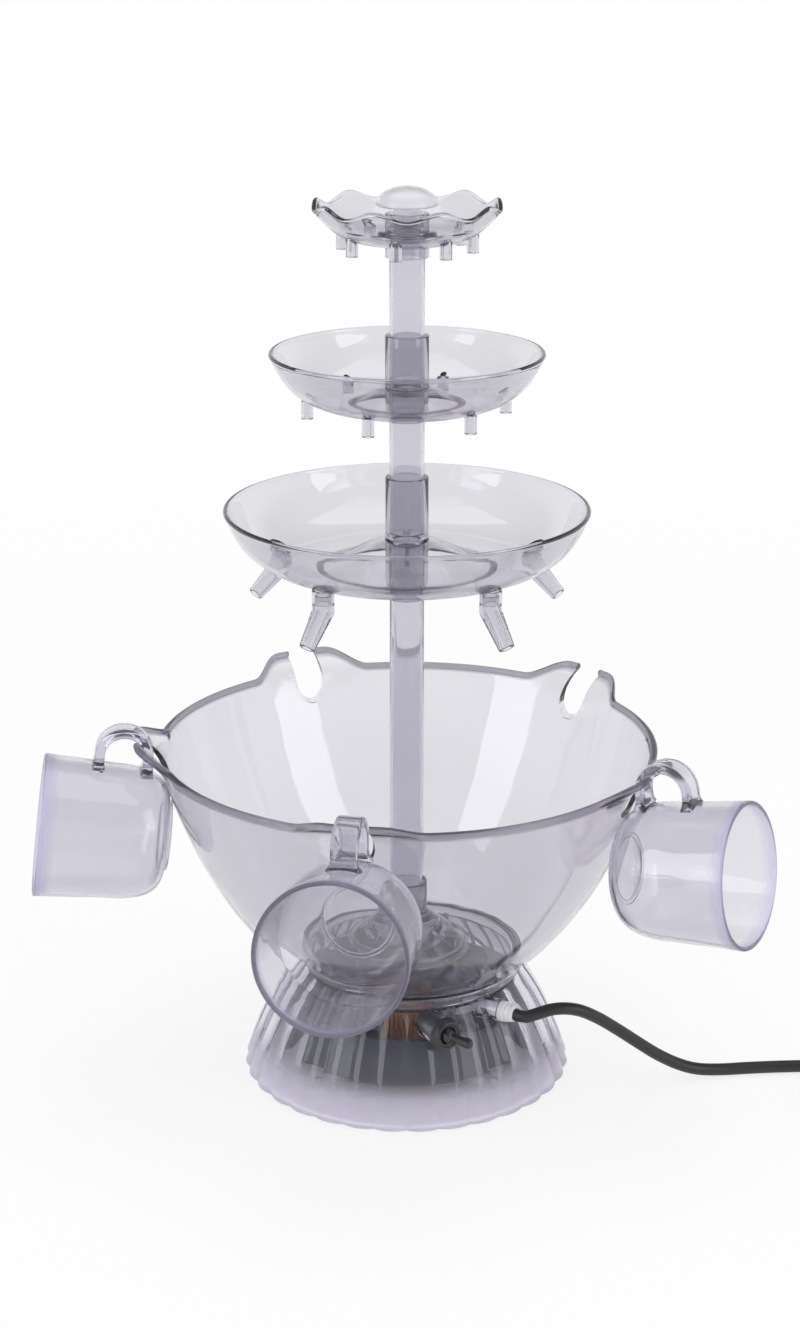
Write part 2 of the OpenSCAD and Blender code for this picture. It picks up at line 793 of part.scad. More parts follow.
module bowl() color(clear_tint) difference() {
    union() {
        rotate_extrude()
            union() {
                polygon(concat([[neck_r - bowl_foot_w, neck_z], [neck_r, neck_z], [neck_r, neck_z + 4]],
                    bowl_side,
                    reversed(inset(bowl_side, bowl_wall)),
                    [[neck_r - 1, floor_z], [seal_r, floor_z], [seal_r, floor_z - floor_t],
                    [neck_r - bowl_foot_w, floor_z - floor_t]]));
                translate([rim_mid, rim_z])
                    circle(rim_bead);
            }
        intersection() {
            rotate_extrude()
                translate([rim_mid, rim_z])
                    rotate(ear_slope) {
                        translate([0, -ear_t / 2])
                            square([ear_run / cos(ear_slope), ear_t]);
                        translate([ear_run / cos(ear_slope), 0])
                            circle(ear_t / 2);
                    }
            around(hooks, hook_turn, bowl_r - ear_round_in)
                translate([0, 0, rim_z - 5])
                    cylinder(r = ear_round, h = ear_rise + 15);
        }
        around(4, bowl_screw_turn, bowl_screw_ring_r)
            translate([0, 0, neck_z])
                cylinder(r = post_r, h = floor_h - floor_t + eps);
    }
    keyholes();
    around(4, bowl_screw_turn, bowl_screw_ring_r)
        translate([0, 0, neck_z - 1])
            cylinder(r = screw_r + screw_fit, h = bowl_screw_l);
}

// Column and tiers
module tube(z, length) {
    ring(tube_r, tube_in_r, z, z + length);
}

module lower_tube() color(frost_tint)
    tube(pump_seat, lower_tube_l);

module middle_tube() color(frost_tint)
    tube(middle_seat, middle_tube_l);

module upper_tube() color(frost_tint)
    tube(upper_seat, upper_tube_l);

// A tray with a raised middle, on a hub whose ledge is at height 0
module tray(r, depth, drop, flat_r, dome_r, dome_h, hub_down, hub_up) {
    outer = curve([flat_r, -drop], [r - 0.4 * (r - flat_r), 2 - drop], [r - 8, depth * 0.34 - drop],
        [r, depth - drop], 12);
    inner = inset(outer, tray_wall);
    rotate_extrude()
        union() {
            polygon(concat([[dome_r, -drop]], outer, reversed(inner), [[dome_r, tray_wall - drop]]));
            polygon([[dome_r + 1, -drop], [dome_r + 1, tray_wall - drop],
                [hub_in_r + 0.5, tray_wall + dome_h - drop], [hub_in_r + 0.5, dome_h - drop]]);
            translate([r - tray_wall / 2, depth - drop])
                circle(tray_wall * 0.6);
            translate([hub_in_r, -hub_down])
                square([hub_wall, hub_down + hub_up]);
            translate([tube_in_r, 0])
                square([hub_in_r - tube_in_r + eps, ledge_h]);
        }
}

module large_tier() color(clear_tint)
    translate([0, 0, large_ledge])
        difference() {
            union() {
                tray(large_r, large_depth, large_drop, large_flat_r, large_dome_r, large_dome_h, large_hub_down,
                    large_hub_up);
                around(spouts, spout_turn, spout_ring_r)
                    translate([0, 0, -large_drop - socket_l])
                        cylinder(r = socket_r, h = socket_l + socket_in);
            }
            around(spouts, spout_turn, spout_ring_r)
                translate([0, 0, -large_drop - socket_l - 1])
                    cylinder(r = socket_bore_r, h = socket_l + socket_in + 2);
        }

module spout(i) color(clear_tint)
    rotate([0, 0, spout_turn + i * 360 / spouts])
        translate([0, -spout_ring_r, large_ledge - large_drop - socket_l])
            difference() {
                union() {
                    cylinder(r = socket_bore_r - spout_fit, h = spigot_l);
                    translate([0, 0, -spout_collar_h])
                        cylinder(r = socket_r, h = spout_collar_h);
                    translate([0, 0, -spout_collar_h])
                        sphere(socket_r);
                    translate([0, 0, -spout_collar_h])
                        rotate([180 - spout_lean, 0, 0])
                            cylinder(r1 = socket_r, r2 = spout_tip_r, h = spout_l);
                }
                translate([0, 0, -spout_collar_h])
                    cylinder(r = spout_bore_r, h = spigot_l + spout_collar_h + 1);
                translate([0, 0, -spout_collar_h])
                    sphere(spout_bore_r);
                translate([0, 0, -spout_collar_h])
                    rotate([180 - spout_lean, 0, 0])
                        cylinder(r1 = spout_bore_r, r2 = spout_tip_bore_r, h = spout_l + 1);
            }

module nub_tray(count, turn, ring_r, drop) {
    difference() {
        union() {
            children();
            around(count, turn, ring_r)
                translate([0, 0, -drop - nub_l])
                    cylinder(r = nub_r, h = nub_l + nub_in);
        }
        around(count, turn, ring_r)
            translate([0, 0, -drop - nub_l - 1])
                cylinder(r = nub_bore_r, h = nub_l + nub_in + 2);
    }
}

module middle_tier() color(clear_tint)
    translate([0, 0, middle_ledge])
        nub_tray(middle_nubs, middle_nub_turn, middle_nub_ring_r, middle_drop)
            tray(middle_r, middle_depth, middle_drop, middle_flat_r, middle_dome_r, middle_dome_h,
                middle_hub_down, middle_hub_up);

module top_tier() color(clear_tint)
    translate([0, 0, top_ledge])
        difference() {
            nub_tray(top_nubs, top_nub_turn, top_nub_ring_r, top_drop)
                tray(top_r, top_depth, top_drop, top_flat_r, top_dome_r, top_dome_h, top_hub_down, top_hub_up);
            wave_half = top_r * sin(180 / waves);
            wave_r = (pow(wave_half, 2) + pow(wave_depth, 2)) / (2 * wave_depth);
            around(waves, 0, top_r)
                translate([0, 0, top_depth - top_drop + tray_wall - wave_depth + wave_r])
                    rotate([90, 0, 0])
                        cylinder(r = wave_r, h = 30, center = true);
        }

module diverter_cap() color(clear_tint)
    translate([0, 0, cap_seat]) {
        dome = curve([cap_r, 0], [cap_r - 2, cap_h * 0.7], [cap_r * 0.45, cap_h], [0, cap_h], 10);
        lift = top_hub_up - ledge_h + cap_lift;
        stem_r = hub_in_r - cap_fit;
        ring(stem_r, tube_in_r, 0, stem_h);
        around(legs, 45, (stem_r + tube_in_r) / 2)
            cylinder(r = (stem_r - tube_in_r) / 2, h = lift + cap_h - cap_wall - 0.3);
        translate([0, 0, lift])
            rotate_extrude()
                polygon(concat(dome, [[0, cap_h - cap_wall], [cap_r * 0.45, cap_h - cap_wall - 0.6],
                    [cap_r - 4.5, cap_h * 0.45], [cap_r - 2.5, 0]]));
    }

// Cups: the arch of the handle lies in the hook, and the foot leans on the bowl
module cup() {
    inner = inset(cup_side, cup_wall);
    inside = concat([[0, inner[0][1]]], inner, [[0, cup_l + 5]]);
    difference() {
        union() {
            rotate_extrude()
                polygon(concat([[0, cup_foot_h], [cup_foot_r - cup_foot_w, cup_foot_h],
                    [cup_foot_r - cup_foot_w, 0], [cup_foot_r, 0]], cup_side, [[0, cup_l]]));
            translate([arch_up, 0, arch_along])
                rotate([90, 0, 0])
                    intersection() {
                        ring(arch_out_r, arch_in_r, -strap_w / 2, strap_w / 2);
                        translate([0, -arch_out_r - 1, -strap_w])
                            cube([arch_out_r + 1, 2 * arch_out_r + 2, 2 * strap_w]);
                    }
            for (s = [-1, 1])
                translate([cup_foot_r, -strap_w / 2, arch_along + s * arch_r - strap_t / 2])
                    cube([arch_up - cup_foot_r, strap_w, strap_t]);
        }
        rotate_extrude()
            polygon(inside);
    }
}

module hung_cup(k) color(clear_tint)
    rotate([0, 0, hook_turn + k * hook_step])
        translate([0, -arch_ring_r, arch_z])
            rotate([-cup_tilt, 0, 0])
                rotate([90, 0, 0])
                    rotate([0, 0, 90])
                        translate([-arch_up, 0, -arch_along])
                            cup();

module cup_left() hung_cup(-1);
module cup_front() hung_cup(0);
module cup_right() hung_cup(1);

base_cover();
base_plate();
feet();
plate_screws();
motor_tray();
stator_core();
motor_coil();
motor_bridge();
motor_screws();
lower_bearing();
upper_bearing();
motor_rotor();
motor_shaft();
shaft_seal();
impeller();
terminal_block();
switch_body();
switch_bezel();
switch_lever();
cord_gland();
cord();
cord_coil();
cord_tail();
coil_tie();
plug_body();
plug_blades();
bowl();
bowl_screws();
pump_cover();
lower_tube();
large_tier();
spout(0);  // spout_1
spout(1);  // spout_2
spout(2);  // spout_3
spout(3);  // spout_4
spout(4);  // spout_5
middle_tube();
middle_tier();
upper_tube();
top_tier();
diverter_cap();
cup_left();
cup_front();
cup_right();
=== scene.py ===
import json
import math
import bpy
import bmesh
from mathutils import Matrix, Vector


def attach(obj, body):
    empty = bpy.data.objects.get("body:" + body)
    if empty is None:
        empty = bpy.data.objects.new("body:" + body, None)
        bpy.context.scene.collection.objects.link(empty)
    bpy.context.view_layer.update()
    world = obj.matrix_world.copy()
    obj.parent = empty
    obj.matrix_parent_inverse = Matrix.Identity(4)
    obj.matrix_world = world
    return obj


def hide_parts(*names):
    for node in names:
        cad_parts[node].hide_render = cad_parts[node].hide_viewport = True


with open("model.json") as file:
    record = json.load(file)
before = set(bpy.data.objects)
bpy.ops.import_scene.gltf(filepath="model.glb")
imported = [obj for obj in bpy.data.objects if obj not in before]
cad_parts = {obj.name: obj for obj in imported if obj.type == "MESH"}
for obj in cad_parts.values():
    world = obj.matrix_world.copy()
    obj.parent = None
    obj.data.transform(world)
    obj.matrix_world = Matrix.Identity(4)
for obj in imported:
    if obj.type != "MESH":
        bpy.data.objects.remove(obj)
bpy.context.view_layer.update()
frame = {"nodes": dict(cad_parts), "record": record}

NODES = frame["nodes"]
MM = 0.001
SCENE = bpy.context.scene
SCENE.view_settings.view_transform = "Standard"


# Camera: lens in millimetres, places in metres, angles in degrees

LENS, CAMERA_AWAY, CAMERA_UP, CAMERA_DIP, CAMERA_TURN = 67.82, 1.3202, 0.6841, 18.47, 0.165
camera_data = bpy.data.cameras.new("photo_camera")
camera_data.lens = LENS
camera_data.sensor_width = 36
camera_data.clip_start = 0.05
camera = bpy.data.objects.new("photo_camera", camera_data)
camera.location = (0.0, -CAMERA_AWAY, CAMERA_UP)
camera.rotation_euler = (math.radians(90 - CAMERA_DIP), 0, math.radians(CAMERA_TURN))
SCENE.collection.objects.link(camera)
SCENE.camera = camera


# Shader maths

class Value:
    """A number that a shader socket gives, for sums written as Python."""

    def __init__(self, look, socket):
        self.look = look
        self.socket = socket

    def maths(self, operation, first, second):
        return self.look.node("ShaderNodeMath", {0: first, 1: second}, operation=operation)["Value"]

    def __add__(self, other):
        return self.maths("ADD", self, other)

    def __sub__(self, other):
        return self.maths("SUBTRACT", self, other)

    def __rsub__(self, other):
        return self.maths("SUBTRACT", other, self)

    def __mul__(self, other):
        return self.maths("MULTIPLY", self, other)

    __radd__ = __add__
    __rmul__ = __mul__


class Made:
    """A new node, whose outputs are read by name."""

    def __init__(self, look, node):
        self.look = look
        self.node = node

    def __getitem__(self, name):
        return Value(self.look, self.node.outputs[name])


class Look:
    """A material or a world under construction."""

    def __init__(self, owner):
        self.owner = owner
        owner.use_nodes = True
        self.tree = owner.node_tree
        self.tree.nodes.clear()

    def node(self, kind, sockets=None, **settings):
        """Any node: its type, the values or links of its sockets, and its settings."""
        made = self.tree.nodes.new(kind)
        for name, value in settings.items():
            setattr(made, name, value)
        for name, value in (sockets or {}).items():
            if isinstance(value, Value):
                self.tree.links.new(value.socket, made.inputs[name])
            else:
                made.inputs[name].default_value = value
        return Made(self, made)

    def place(self):
        return self.node("ShaderNodeTexCoord")["Object"]

    def noise(self, scale, detail=2, rough=0.5, where=None):
        sockets = {"Vector": where or self.place(), "Scale": scale, "Detail": detail, "Roughness": rough}
        return self.node("ShaderNodeTexNoise", sockets)["Fac"]

    def spread(self, value, low, high):
        """Brings a 0 to 1 pattern to the range from low to high."""
        return value * (high - low) + low

    def blend(self, mask, first, second):
        """A colour between two, by a mask."""
        sockets = {0: mask, 6: (*first, 1), 7: (*second, 1)}
        made = self.node("ShaderNodeMix", sockets, data_type="RGBA")
        return Value(self, made.node.outputs[2])

    def bump(self, height, strength, distance):
        sockets = {"Height": height, "Strength": strength, "Distance": distance}
        return self.node("ShaderNodeBump", sockets)["Normal"]

    def finish(self, surface, volume=None):
        output = self.tree.nodes.new("ShaderNodeOutputMaterial")
        self.tree.links.new(surface.socket, output.inputs["Surface"])
        if volume:
            self.tree.links.new(volume.socket, output.inputs["Volume"])
        return self.owner


def new_look(name):
    return Look(bpy.data.materials.new(name))


def solid_look(name, dark, light, grain, rough, relief=0.0, metal=0.0, coat=0.0):
    """An opaque finish: two tones in a fine grain, with its own sheen and relief."""
    look = new_look(name)
    fine = look.noise(grain, 4, 0.6)
    broad = look.noise(grain / 9, 2)
    mask = look.spread(fine, 0.0, 0.6) + look.spread(broad, 0.0, 0.4)
    sockets = {
        "Base Color": look.blend(mask, dark, light),
        "Roughness": look.spread(fine, rough[0], rough[1]),
        "Metallic": metal,
        "Coat Weight": coat,
    }
    if relief:
        sockets["Normal"] = look.bump(fine, 0.4, relief)
    return look.finish(look.node("ShaderNodeBsdfPrincipled", sockets)["BSDF"])


def let_lamps_through(look, surface, tint):
    """Lets lamp light pass a clear moulding, a little coloured, so that what is behind it is lit."""
    lamp_ray = look.node("ShaderNodeLightPath")["Is Shadow Ray"]
    gap = look.node("ShaderNodeBsdfTransparent", {"Color": (*tint, 1)})["BSDF"]
    return look.node("ShaderNodeMixShader", {0: lamp_ray, 1: surface, 2: gap})["Shader"]


# Roughness of the shader that carries painted light and shade
PAINTED_SHADING_ROUGH = 0.4


def clear_look(name, tint, rough, haze, depth_tint=(0.5, 0.47, 0.64), density=45, ior=1.42, painted_shading=None):
    """A clear moulding: it takes up light along its depth, and may have painted light and shade mixed in
    where a mask says.
    """
    look = new_look(name)
    broad = look.noise(35, 1)
    fine = look.noise(900, 3, 0.6)
    sockets = {
        "Base Color": look.blend(broad, tint, tuple(min(1, c * 1.04) for c in tint)),
        "Roughness": look.spread(fine, rough[0], rough[1]),
        "IOR": ior,
        "Transmission Weight": 1 - haze,
        "Normal": look.bump(broad, 0.5, 0.0005),
    }
    surface = look.node("ShaderNodeBsdfPrincipled", sockets)["BSDF"]
    # Painted light and shade: a second, lighter or darker shader mixed in by a mask
    if painted_shading:
        shading_tint, through, place = painted_shading
        sockets = {
            "Base Color": (*shading_tint, 1),
            "Roughness": PAINTED_SHADING_ROUGH,
            "IOR": ior,
            "Transmission Weight": through,
        }
        painted_surface = look.node("ShaderNodeBsdfPrincipled", sockets)["BSDF"]
        surface = look.node("ShaderNodeMixShader", {0: place(look), 1: surface, 2: painted_surface})["Shader"]
    depth = look.node("ShaderNodeVolumeAbsorption", {"Color": (*depth_tint, 1), "Density": density})["Volume"]
    return look.finish(let_lamps_through(look, surface, tint), depth)


def ramp(look, value, low, high):
    """0 below one value, 1 above another, with a soft change between them."""
    sockets = {"Value": value, "From Min": low, "From Max": high, "To Min": 0.0, "To Max": 1.0}
    return look.node("ShaderNodeMapRange", sockets, interpolation_type="SMOOTHSTEP")["Result"]


# Painted light along the base's foot: how much, and the heights where it fades out
SKIRT_LIGHT, SKIRT_LIGHT_LOW, SKIRT_LIGHT_TOP = 0.75, 0.006, 0.028


def painted_lip_share(look):
    """The share of painted light and shade that the mesh carries in its lip attribute."""
    return look.node("ShaderNodeAttribute", attribute_name="lip")["Fac"]


def painted_light_on_skirt(look):
    """The share of painted light, most along the foot of the base, none above it."""
    height = look.node("ShaderNodeSeparateXYZ", {0: look.place()})["Z"]
    return SKIRT_LIGHT - SKIRT_LIGHT * ramp(look, height, SKIRT_LIGHT_LOW, SKIRT_LIGHT_TOP)


CLEAR = clear_look("clear_moulding", (0.81, 0.803, 0.83), (0.0, 0.02), 0.02, (0.4, 0.37, 0.52), 50)
# The bowl's bead and ears carry painted shade: a dark shader mixed in by the lip share, as a painted dark
# edge line
BOWL = clear_look("clear_bowl", (0.82, 0.813, 0.84), (0.0, 0.02), 0.02, (0.4, 0.37, 0.52), 50,
                  painted_shading=((0.16, 0.14, 0.2), 0.85, painted_lip_share))
# The cups' lips carry painted light: a pale lavender glow mixed in by the lip share
CUP = clear_look("clear_cup", (0.82, 0.813, 0.845), (0.0, 0.02), 0.04,
                 painted_shading=((0.66, 0.63, 0.86), 0.8, painted_lip_share))
TUBE = clear_look("clear_tube", (0.8, 0.795, 0.83), (0.02, 0.06), 0.06)
CAP = clear_look("clouded_cap", (0.9, 0.9, 0.91), (0.1, 0.2), 0.3)
# The base's foot carries painted light: a pale band in place of the lit base plate seen through the skirt
BASE_PAINTED_SKIRT = clear_look("base_painted_skirt", (0.93, 0.926, 0.95), (0.0, 0.02), 0.01,
                   painted_shading=((0.76, 0.73, 0.83), 0.3, painted_light_on_skirt))
BLACK = solid_look("black_moulding", (0.012, 0.012, 0.014), (0.03, 0.03, 0.034), 900, (0.28, 0.42),
                   0.00006, coat=0.2)
SHEATH = solid_look("cord_sheath", (0.013, 0.013, 0.015), (0.026, 0.026, 0.03), 1200, (0.38, 0.52),
                    0.00008)
RUBBER = solid_look("foot_rubber", (0.02, 0.02, 0.022), (0.05, 0.05, 0.052), 700, (0.6, 0.8), 0.0001)
NAVY = solid_look("navy_moulding", (0.012, 0.014, 0.028), (0.03, 0.035, 0.06), 500, (0.4, 0.55),
                  0.00006)
GREY = solid_look("grey_moulding", (0.58, 0.58, 0.62), (0.68, 0.68, 0.72), 600, (0.4, 0.55), 0.00005)
WHITE = solid_look("white_moulding", (0.8, 0.8, 0.8), (0.88, 0.88, 0.88), 700, (0.35, 0.5), 0.00005)
STEEL = solid_look("plain_steel", (0.45, 0.45, 0.47), (0.62, 0.62, 0.64), 800, (0.22, 0.4), 0.00003,
                   metal=1.0)
LAMINATION = solid_look("steel_sheets", (0.25, 0.25, 0.27), (0.42, 0.42, 0.44), 1100, (0.35, 0.5),
                        0.00004, metal=0.9)
BRONZE = solid_look("sintered_bronze", (0.42, 0.27, 0.1), (0.62, 0.43, 0.2), 1500, (0.35, 0.5), 0.00005,
                    metal=1.0)
BRASS = solid_look("blade_brass", (0.62, 0.48, 0.22), (0.78, 0.64, 0.36), 700, (0.2, 0.34), 0.00002,
                   metal=1.0)
TAPE = solid_look("amber_tape", (0.42, 0.2, 0.07), (0.58, 0.32, 0.14), 500, (0.3, 0.45), 0.00005,
                  coat=0.3)
COPPER = solid_look("wound_copper", (0.3, 0.11, 0.04), (0.62, 0.28, 0.12), 900, (0.25, 0.45), 0.0001,
                    metal=0.6, coat=0.4)


# Mesh making; sizes in millimetres

def curve(a, b, c, d, count):
    """Points along a curve with two handles, ends included."""
    points = []
    for i in range(count + 1):
        t = i / count
        s = 1 - t
        points.append(tuple(s**3 * p + 3 * s * s * t * q + 3 * s * t * t * r + t**3 * e
                            for p, q, r, e in zip(a, b, c, d)))
    return points


def inset(points, width):
    """The same line moved to its left by a width."""
    moved = []
    for i, (x, y) in enumerate(points):
        ax, ay = points[max(i - 1, 0)]
        bx, by = points[min(i + 1, len(points) - 1)]
        size = math.hypot(bx - ax, by - ay)
        moved.append((x - width * (by - ay) / size, y + width * (bx - ax) / size))
    return moved


def arc(centre, radius, start, end, count):
    """Points on a round from one angle to another, in degrees."""
    points = []
    for i in range(count + 1):
        a = math.radians(start + (end - start) * i / count)
        points.append((centre[0] + radius * math.cos(a), centre[1] + radius * math.sin(a)))
    return points


def eased(points, steps=4):
    """A closed outline with rounded corners; each point is (x, y) or (x, y, corner radius)."""
    outline = []
    count = len(points)
    for i, point in enumerate(points):
        radius = point[2] if len(point) > 2 else 0
        here = Vector(point[:2])
        if radius <= 0:
            outline.append(tuple(here))
            continue
        back = Vector(points[i - 1][:2]) - here
        ahead = Vector(points[(i + 1) % count][:2]) - here
        reach = min(radius, back.length * 0.45, ahead.length * 0.45)
        a = here + back.normalized() * reach
        b = here + ahead.normalized() * reach
        for k in range(steps + 1):
            t = k / steps
            outline.append(tuple((1 - t) ** 2 * a + 2 * t * (1 - t) * here + t * t * b))
    return outline


def raw_object(name, mesh):
    made = bpy.data.objects.new(name, mesh)
    SCENE.collection.objects.link(made)
    return made


def from_bmesh(name, work):
    """A new object from a mesh under construction, with its seams closed and its faces outwards."""
    bmesh.ops.remove_doubles(work, verts=work.verts, dist=1e-7)
    bmesh.ops.recalc_face_normals(work, faces=work.faces)
    mesh = bpy.data.meshes.new(name)
    work.to_mesh(mesh)
    work.free()
    return raw_object(name, mesh)


SHARP = 32


def smooth(made):
    """Shades a mesh smooth, with edges sharper than an angle kept."""
    made.data.polygons.foreach_set("use_smooth", [True] * len(made.data.polygons))
    made.data.set_sharp_from_angle(angle=math.radians(SHARP))


def revolve(name, outline, segments=128, shape=None, closed=True):
    """Turns an outline of (radius, height) about Z; an open outline starts and ends on the axis."""
    work = bmesh.new()
    rings = []
    for j, (r, z) in enumerate(outline):
        if abs(r) < 1e-6:
            rings.append([work.verts.new((0, 0, z * MM))] * segments)
            continue
        ring = []
        for k in range(segments):
            a = 2 * math.pi * k / segments
            out, up = shape(r, z, a, j) if shape else (r, z)
            ring.append(work.verts.new((out * math.sin(a) * MM, -out * math.cos(a) * MM, up * MM)))
        rings.append(ring)
    spans = len(rings) if closed else len(rings) - 1
    for j in range(spans):
        low, high = rings[j], rings[(j + 1) % len(rings)]
        for k in range(segments):
            corners = []
            for vert in (low[k], low[(k + 1) % segments], high[(k + 1) % segments], high[k]):
                if vert not in corners:
                    corners.append(vert)
            if len(corners) > 2:
                work.faces.new(corners)
    return from_bmesh(name, work)


def sweep(name, path, section):
    """Carries a section along a path of (point, side, up, scale), with closed ends."""
    work = bmesh.new()
    rings = []
    for point, side, up, scale in path:
        places = [Vector(point) + Vector(side) * (x * scale) + Vector(up) * (y * scale) for x, y in section]
        rings.append([work.verts.new(place * MM) for place in places])
    count = len(section)
    for low, high in zip(rings, rings[1:]):
        for k in range(count):
            work.faces.new((low[k], low[(k + 1) % count], high[(k + 1) % count], high[k]))
    work.faces.new(rings[0])
    work.faces.new(rings[-1])
    return from_bmesh(name, work)


def box_outline(width, height, radius):
    """A centred rectangle with rounded corners."""
    w, h = width / 2, height / 2
    return eased([(-w, -h, radius), (w, -h, radius), (w, h, radius), (-w, h, radius)], 5)


def turned(made, matrix):
    """Applies a place, given in millimetres, to a mesh."""
    place = matrix.copy()
    place.translation *= MM
    made.data.transform(place)
    return made


def spin(degrees):
    return Matrix.Rotation(math.radians(degrees), 4, "Z")


def shift(x, y, z):
    return Matrix.Translation((x, y, z))


def aim(out, turn, z, heading):
    """The place of something whose own Z points along a level heading."""
    a = math.radians(turn)
    return (shift(out * math.sin(a), -out * math.cos(a), z) @ spin(heading)
            @ Matrix.Rotation(math.radians(90), 4, "X"))


def rod(name, radius, low, high, segments=48, ease=0.0, top=None):
    """A round bar along Z, tapered where its top has another radius."""
    end = radius if top is None else top
    outline = eased([(0, low), (radius, low, ease), (end, high, ease), (0, high)])
    return revolve(name, outline, segments, closed=False)


def pipe(name, outer, inner, low, high, segments=96, ease=0.4):
    outline = eased([(inner, low, ease), (outer, low, ease), (outer, high, ease), (inner, high, ease)])
    return revolve(name, outline, segments)


def joined(name, *parts):
    """Loose parts as one object."""
    work = bmesh.new()
    for part in parts:
        work.from_mesh(part.data)
        bpy.data.objects.remove(part)
    mesh = bpy.data.meshes.new(name)
    work.to_mesh(mesh)
    work.free()
    return raw_object(name, mesh)


def around(name, make, count, turn, radius):
    """Copies of one mesh in a ring, made with nodes and baked to one mesh."""
    seed = make()
    tree = bpy.data.node_groups.new(name + "_ring", "GeometryNodeTree")
    tree.interface.new_socket("Geometry", in_out="OUTPUT", socket_type="NodeSocketGeometry")
    inputs = {}
    kinds = {"Count": "Int", "Radius": "Float", "Turn": "Float", "Piece": "Object", "Finish": "Material"}
    for label, kind in kinds.items():
        socket = tree.interface.new_socket(label, in_out="INPUT", socket_type="NodeSocket" + kind)
        inputs[label] = socket.identifier
    source = tree.nodes.new("NodeGroupInput")
    target = tree.nodes.new("NodeGroupOutput")
    ring = tree.nodes.new("GeometryNodeMeshCircle")
    turn_ring = tree.nodes.new("GeometryNodeTransform")
    turn_vector = tree.nodes.new("ShaderNodeCombineXYZ")
    piece = tree.nodes.new("GeometryNodeObjectInfo")
    index = tree.nodes.new("GeometryNodeInputIndex")
    step = tree.nodes.new("ShaderNodeMath")
    step.operation = "DIVIDE"
    step.inputs[0].default_value = 2 * math.pi
    angle = tree.nodes.new("ShaderNodeMath")
    angle.operation = "MULTIPLY_ADD"
    facing = tree.nodes.new("ShaderNodeCombineXYZ")
    copies = tree.nodes.new("GeometryNodeInstanceOnPoints")
    real = tree.nodes.new("GeometryNodeRealizeInstances")
    finish = tree.nodes.new("GeometryNodeSetMaterial")
    link = tree.links.new
    link(source.outputs["Count"], ring.inputs["Vertices"])
    link(source.outputs["Radius"], ring.inputs["Radius"])
    link(ring.outputs["Mesh"], turn_ring.inputs["Geometry"])
    link(source.outputs["Turn"], turn_vector.inputs["Z"])
    link(turn_vector.outputs["Vector"], turn_ring.inputs["Rotation"])
    link(source.outputs["Piece"], piece.inputs["Object"])
    link(source.outputs["Count"], step.inputs[1])
    link(index.outputs["Index"], angle.inputs[0])
    link(step.outputs["Value"], angle.inputs[1])
    link(source.outputs["Turn"], angle.inputs[2])
    link(angle.outputs["Value"], facing.inputs["Z"])
    link(turn_ring.outputs["Geometry"], copies.inputs["Points"])
    link(piece.outputs["Geometry"], copies.inputs["Instance"])
    link(facing.outputs["Vector"], copies.inputs["Rotation"])
    link(copies.outputs["Instances"], real.inputs["Geometry"])
    link(real.outputs["Geometry"], finish.inputs["Geometry"])
    link(source.outputs["Finish"], finish.inputs["Material"])
    link(finish.outputs["Geometry"], target.inputs["Geometry"])
    carrier = raw_object(name, bpy.data.meshes.new(name))
    work = carrier.modifiers.new("ring", "NODES")
    work.node_group = tree
    work[inputs["Count"]] = count
    work[inputs["Radius"]] = radius * MM
    work[inputs["Turn"]] = math.radians(turn - 90)
    work[inputs["Piece"]] = seed
    bake(carrier)
    bpy.data.objects.remove(seed)
    return carrier


def bake(made):
    """Turns what the modifiers give into the object's own mesh."""
    bpy.context.view_layer.update()
    done = made.evaluated_get(bpy.context.evaluated_depsgraph_get())
    mesh = bpy.data.meshes.new_from_object(done)
    made.modifiers.clear()
    made.data = mesh
    return made


def combine(made, operation, other):
    """Adds another solid to this one, or cuts it away."""
    work = made.modifiers.new("combine", "BOOLEAN")
    work.operation = operation
    work.solver = "EXACT"
    work.object = other
    bake(made)
    bpy.data.objects.remove(other)
    return made


def mark_painted_lip(made, share):
    """Marks how far each point takes the painted light and shade at the lip, from its place: painted shade on
    the bowl's bead, a painted glow on the cups' lips.
    """
    lip = made.data.attributes.new("lip", "FLOAT", "POINT")
    lip.data.foreach_set("value", [share(point.co) for point in made.data.vertices])


def piece(made, look, slot, body, *replaced):
    """Gives a finished mesh its material and its body, and the nodes that it stands for."""
    made.data.materials.clear()
    made.data.materials.append(look)
    if made.type == "MESH":
        smooth(made)
    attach(made, body)
    if replaced:
        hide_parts(*replaced)
    return made


# Sizes that the pieces share with the solids

NECK_Z, NECK_R, FLOOR_Z, RIM_Z = 62, 66, 72, 196
FLOOR_T, FOOT_W, SEAL_R = 4, 4, 7
BOWL_R, BOWL_WALL, RIM_BEAD = 140, 3, 2
HOOK_TURN, HOOKS = -10.5, 5
HOOK_STEP = 360 / HOOKS
EAR_CROWN, EAR_HALF, EAR_ROOT = 5.5, 15.7, 184
FLARE_OUT, FLARE_UP, FLARE_STEPS = 13, 8.5, 40
JOINTS = frame["record"]["behaviour"]["joints"]
SWINGS = {joint["child"]: joint["pos_m"] for joint in JOINTS if "pos_m" in joint}
ARCH_R = math.hypot(*SWINGS["front_cup"][:2]) / MM
ARCH_Z = SWINGS["front_cup"][2] / MM
ARCH_UP, ARCH_ALONG, CUP_TILT, CUP_L = 46, 30, 8, 73
STRAP_W, STRAP_T, STRAP_R = 14, 5.5, 13.5
TUBE_R, TUBE_IN = 9.5, 7.7
HUB_IN, HUB_R = 9.6, 11.8
PUMP_SEAT, LARGE_LEDGE, MIDDLE_LEDGE, TOP_LEDGE = 97, 316.2, 401.9, 483.6
LEDGE_H, LEDGE_GAP = 3, 0.2
TRAY_WALL, LARGE_DROP = 2.2, 19
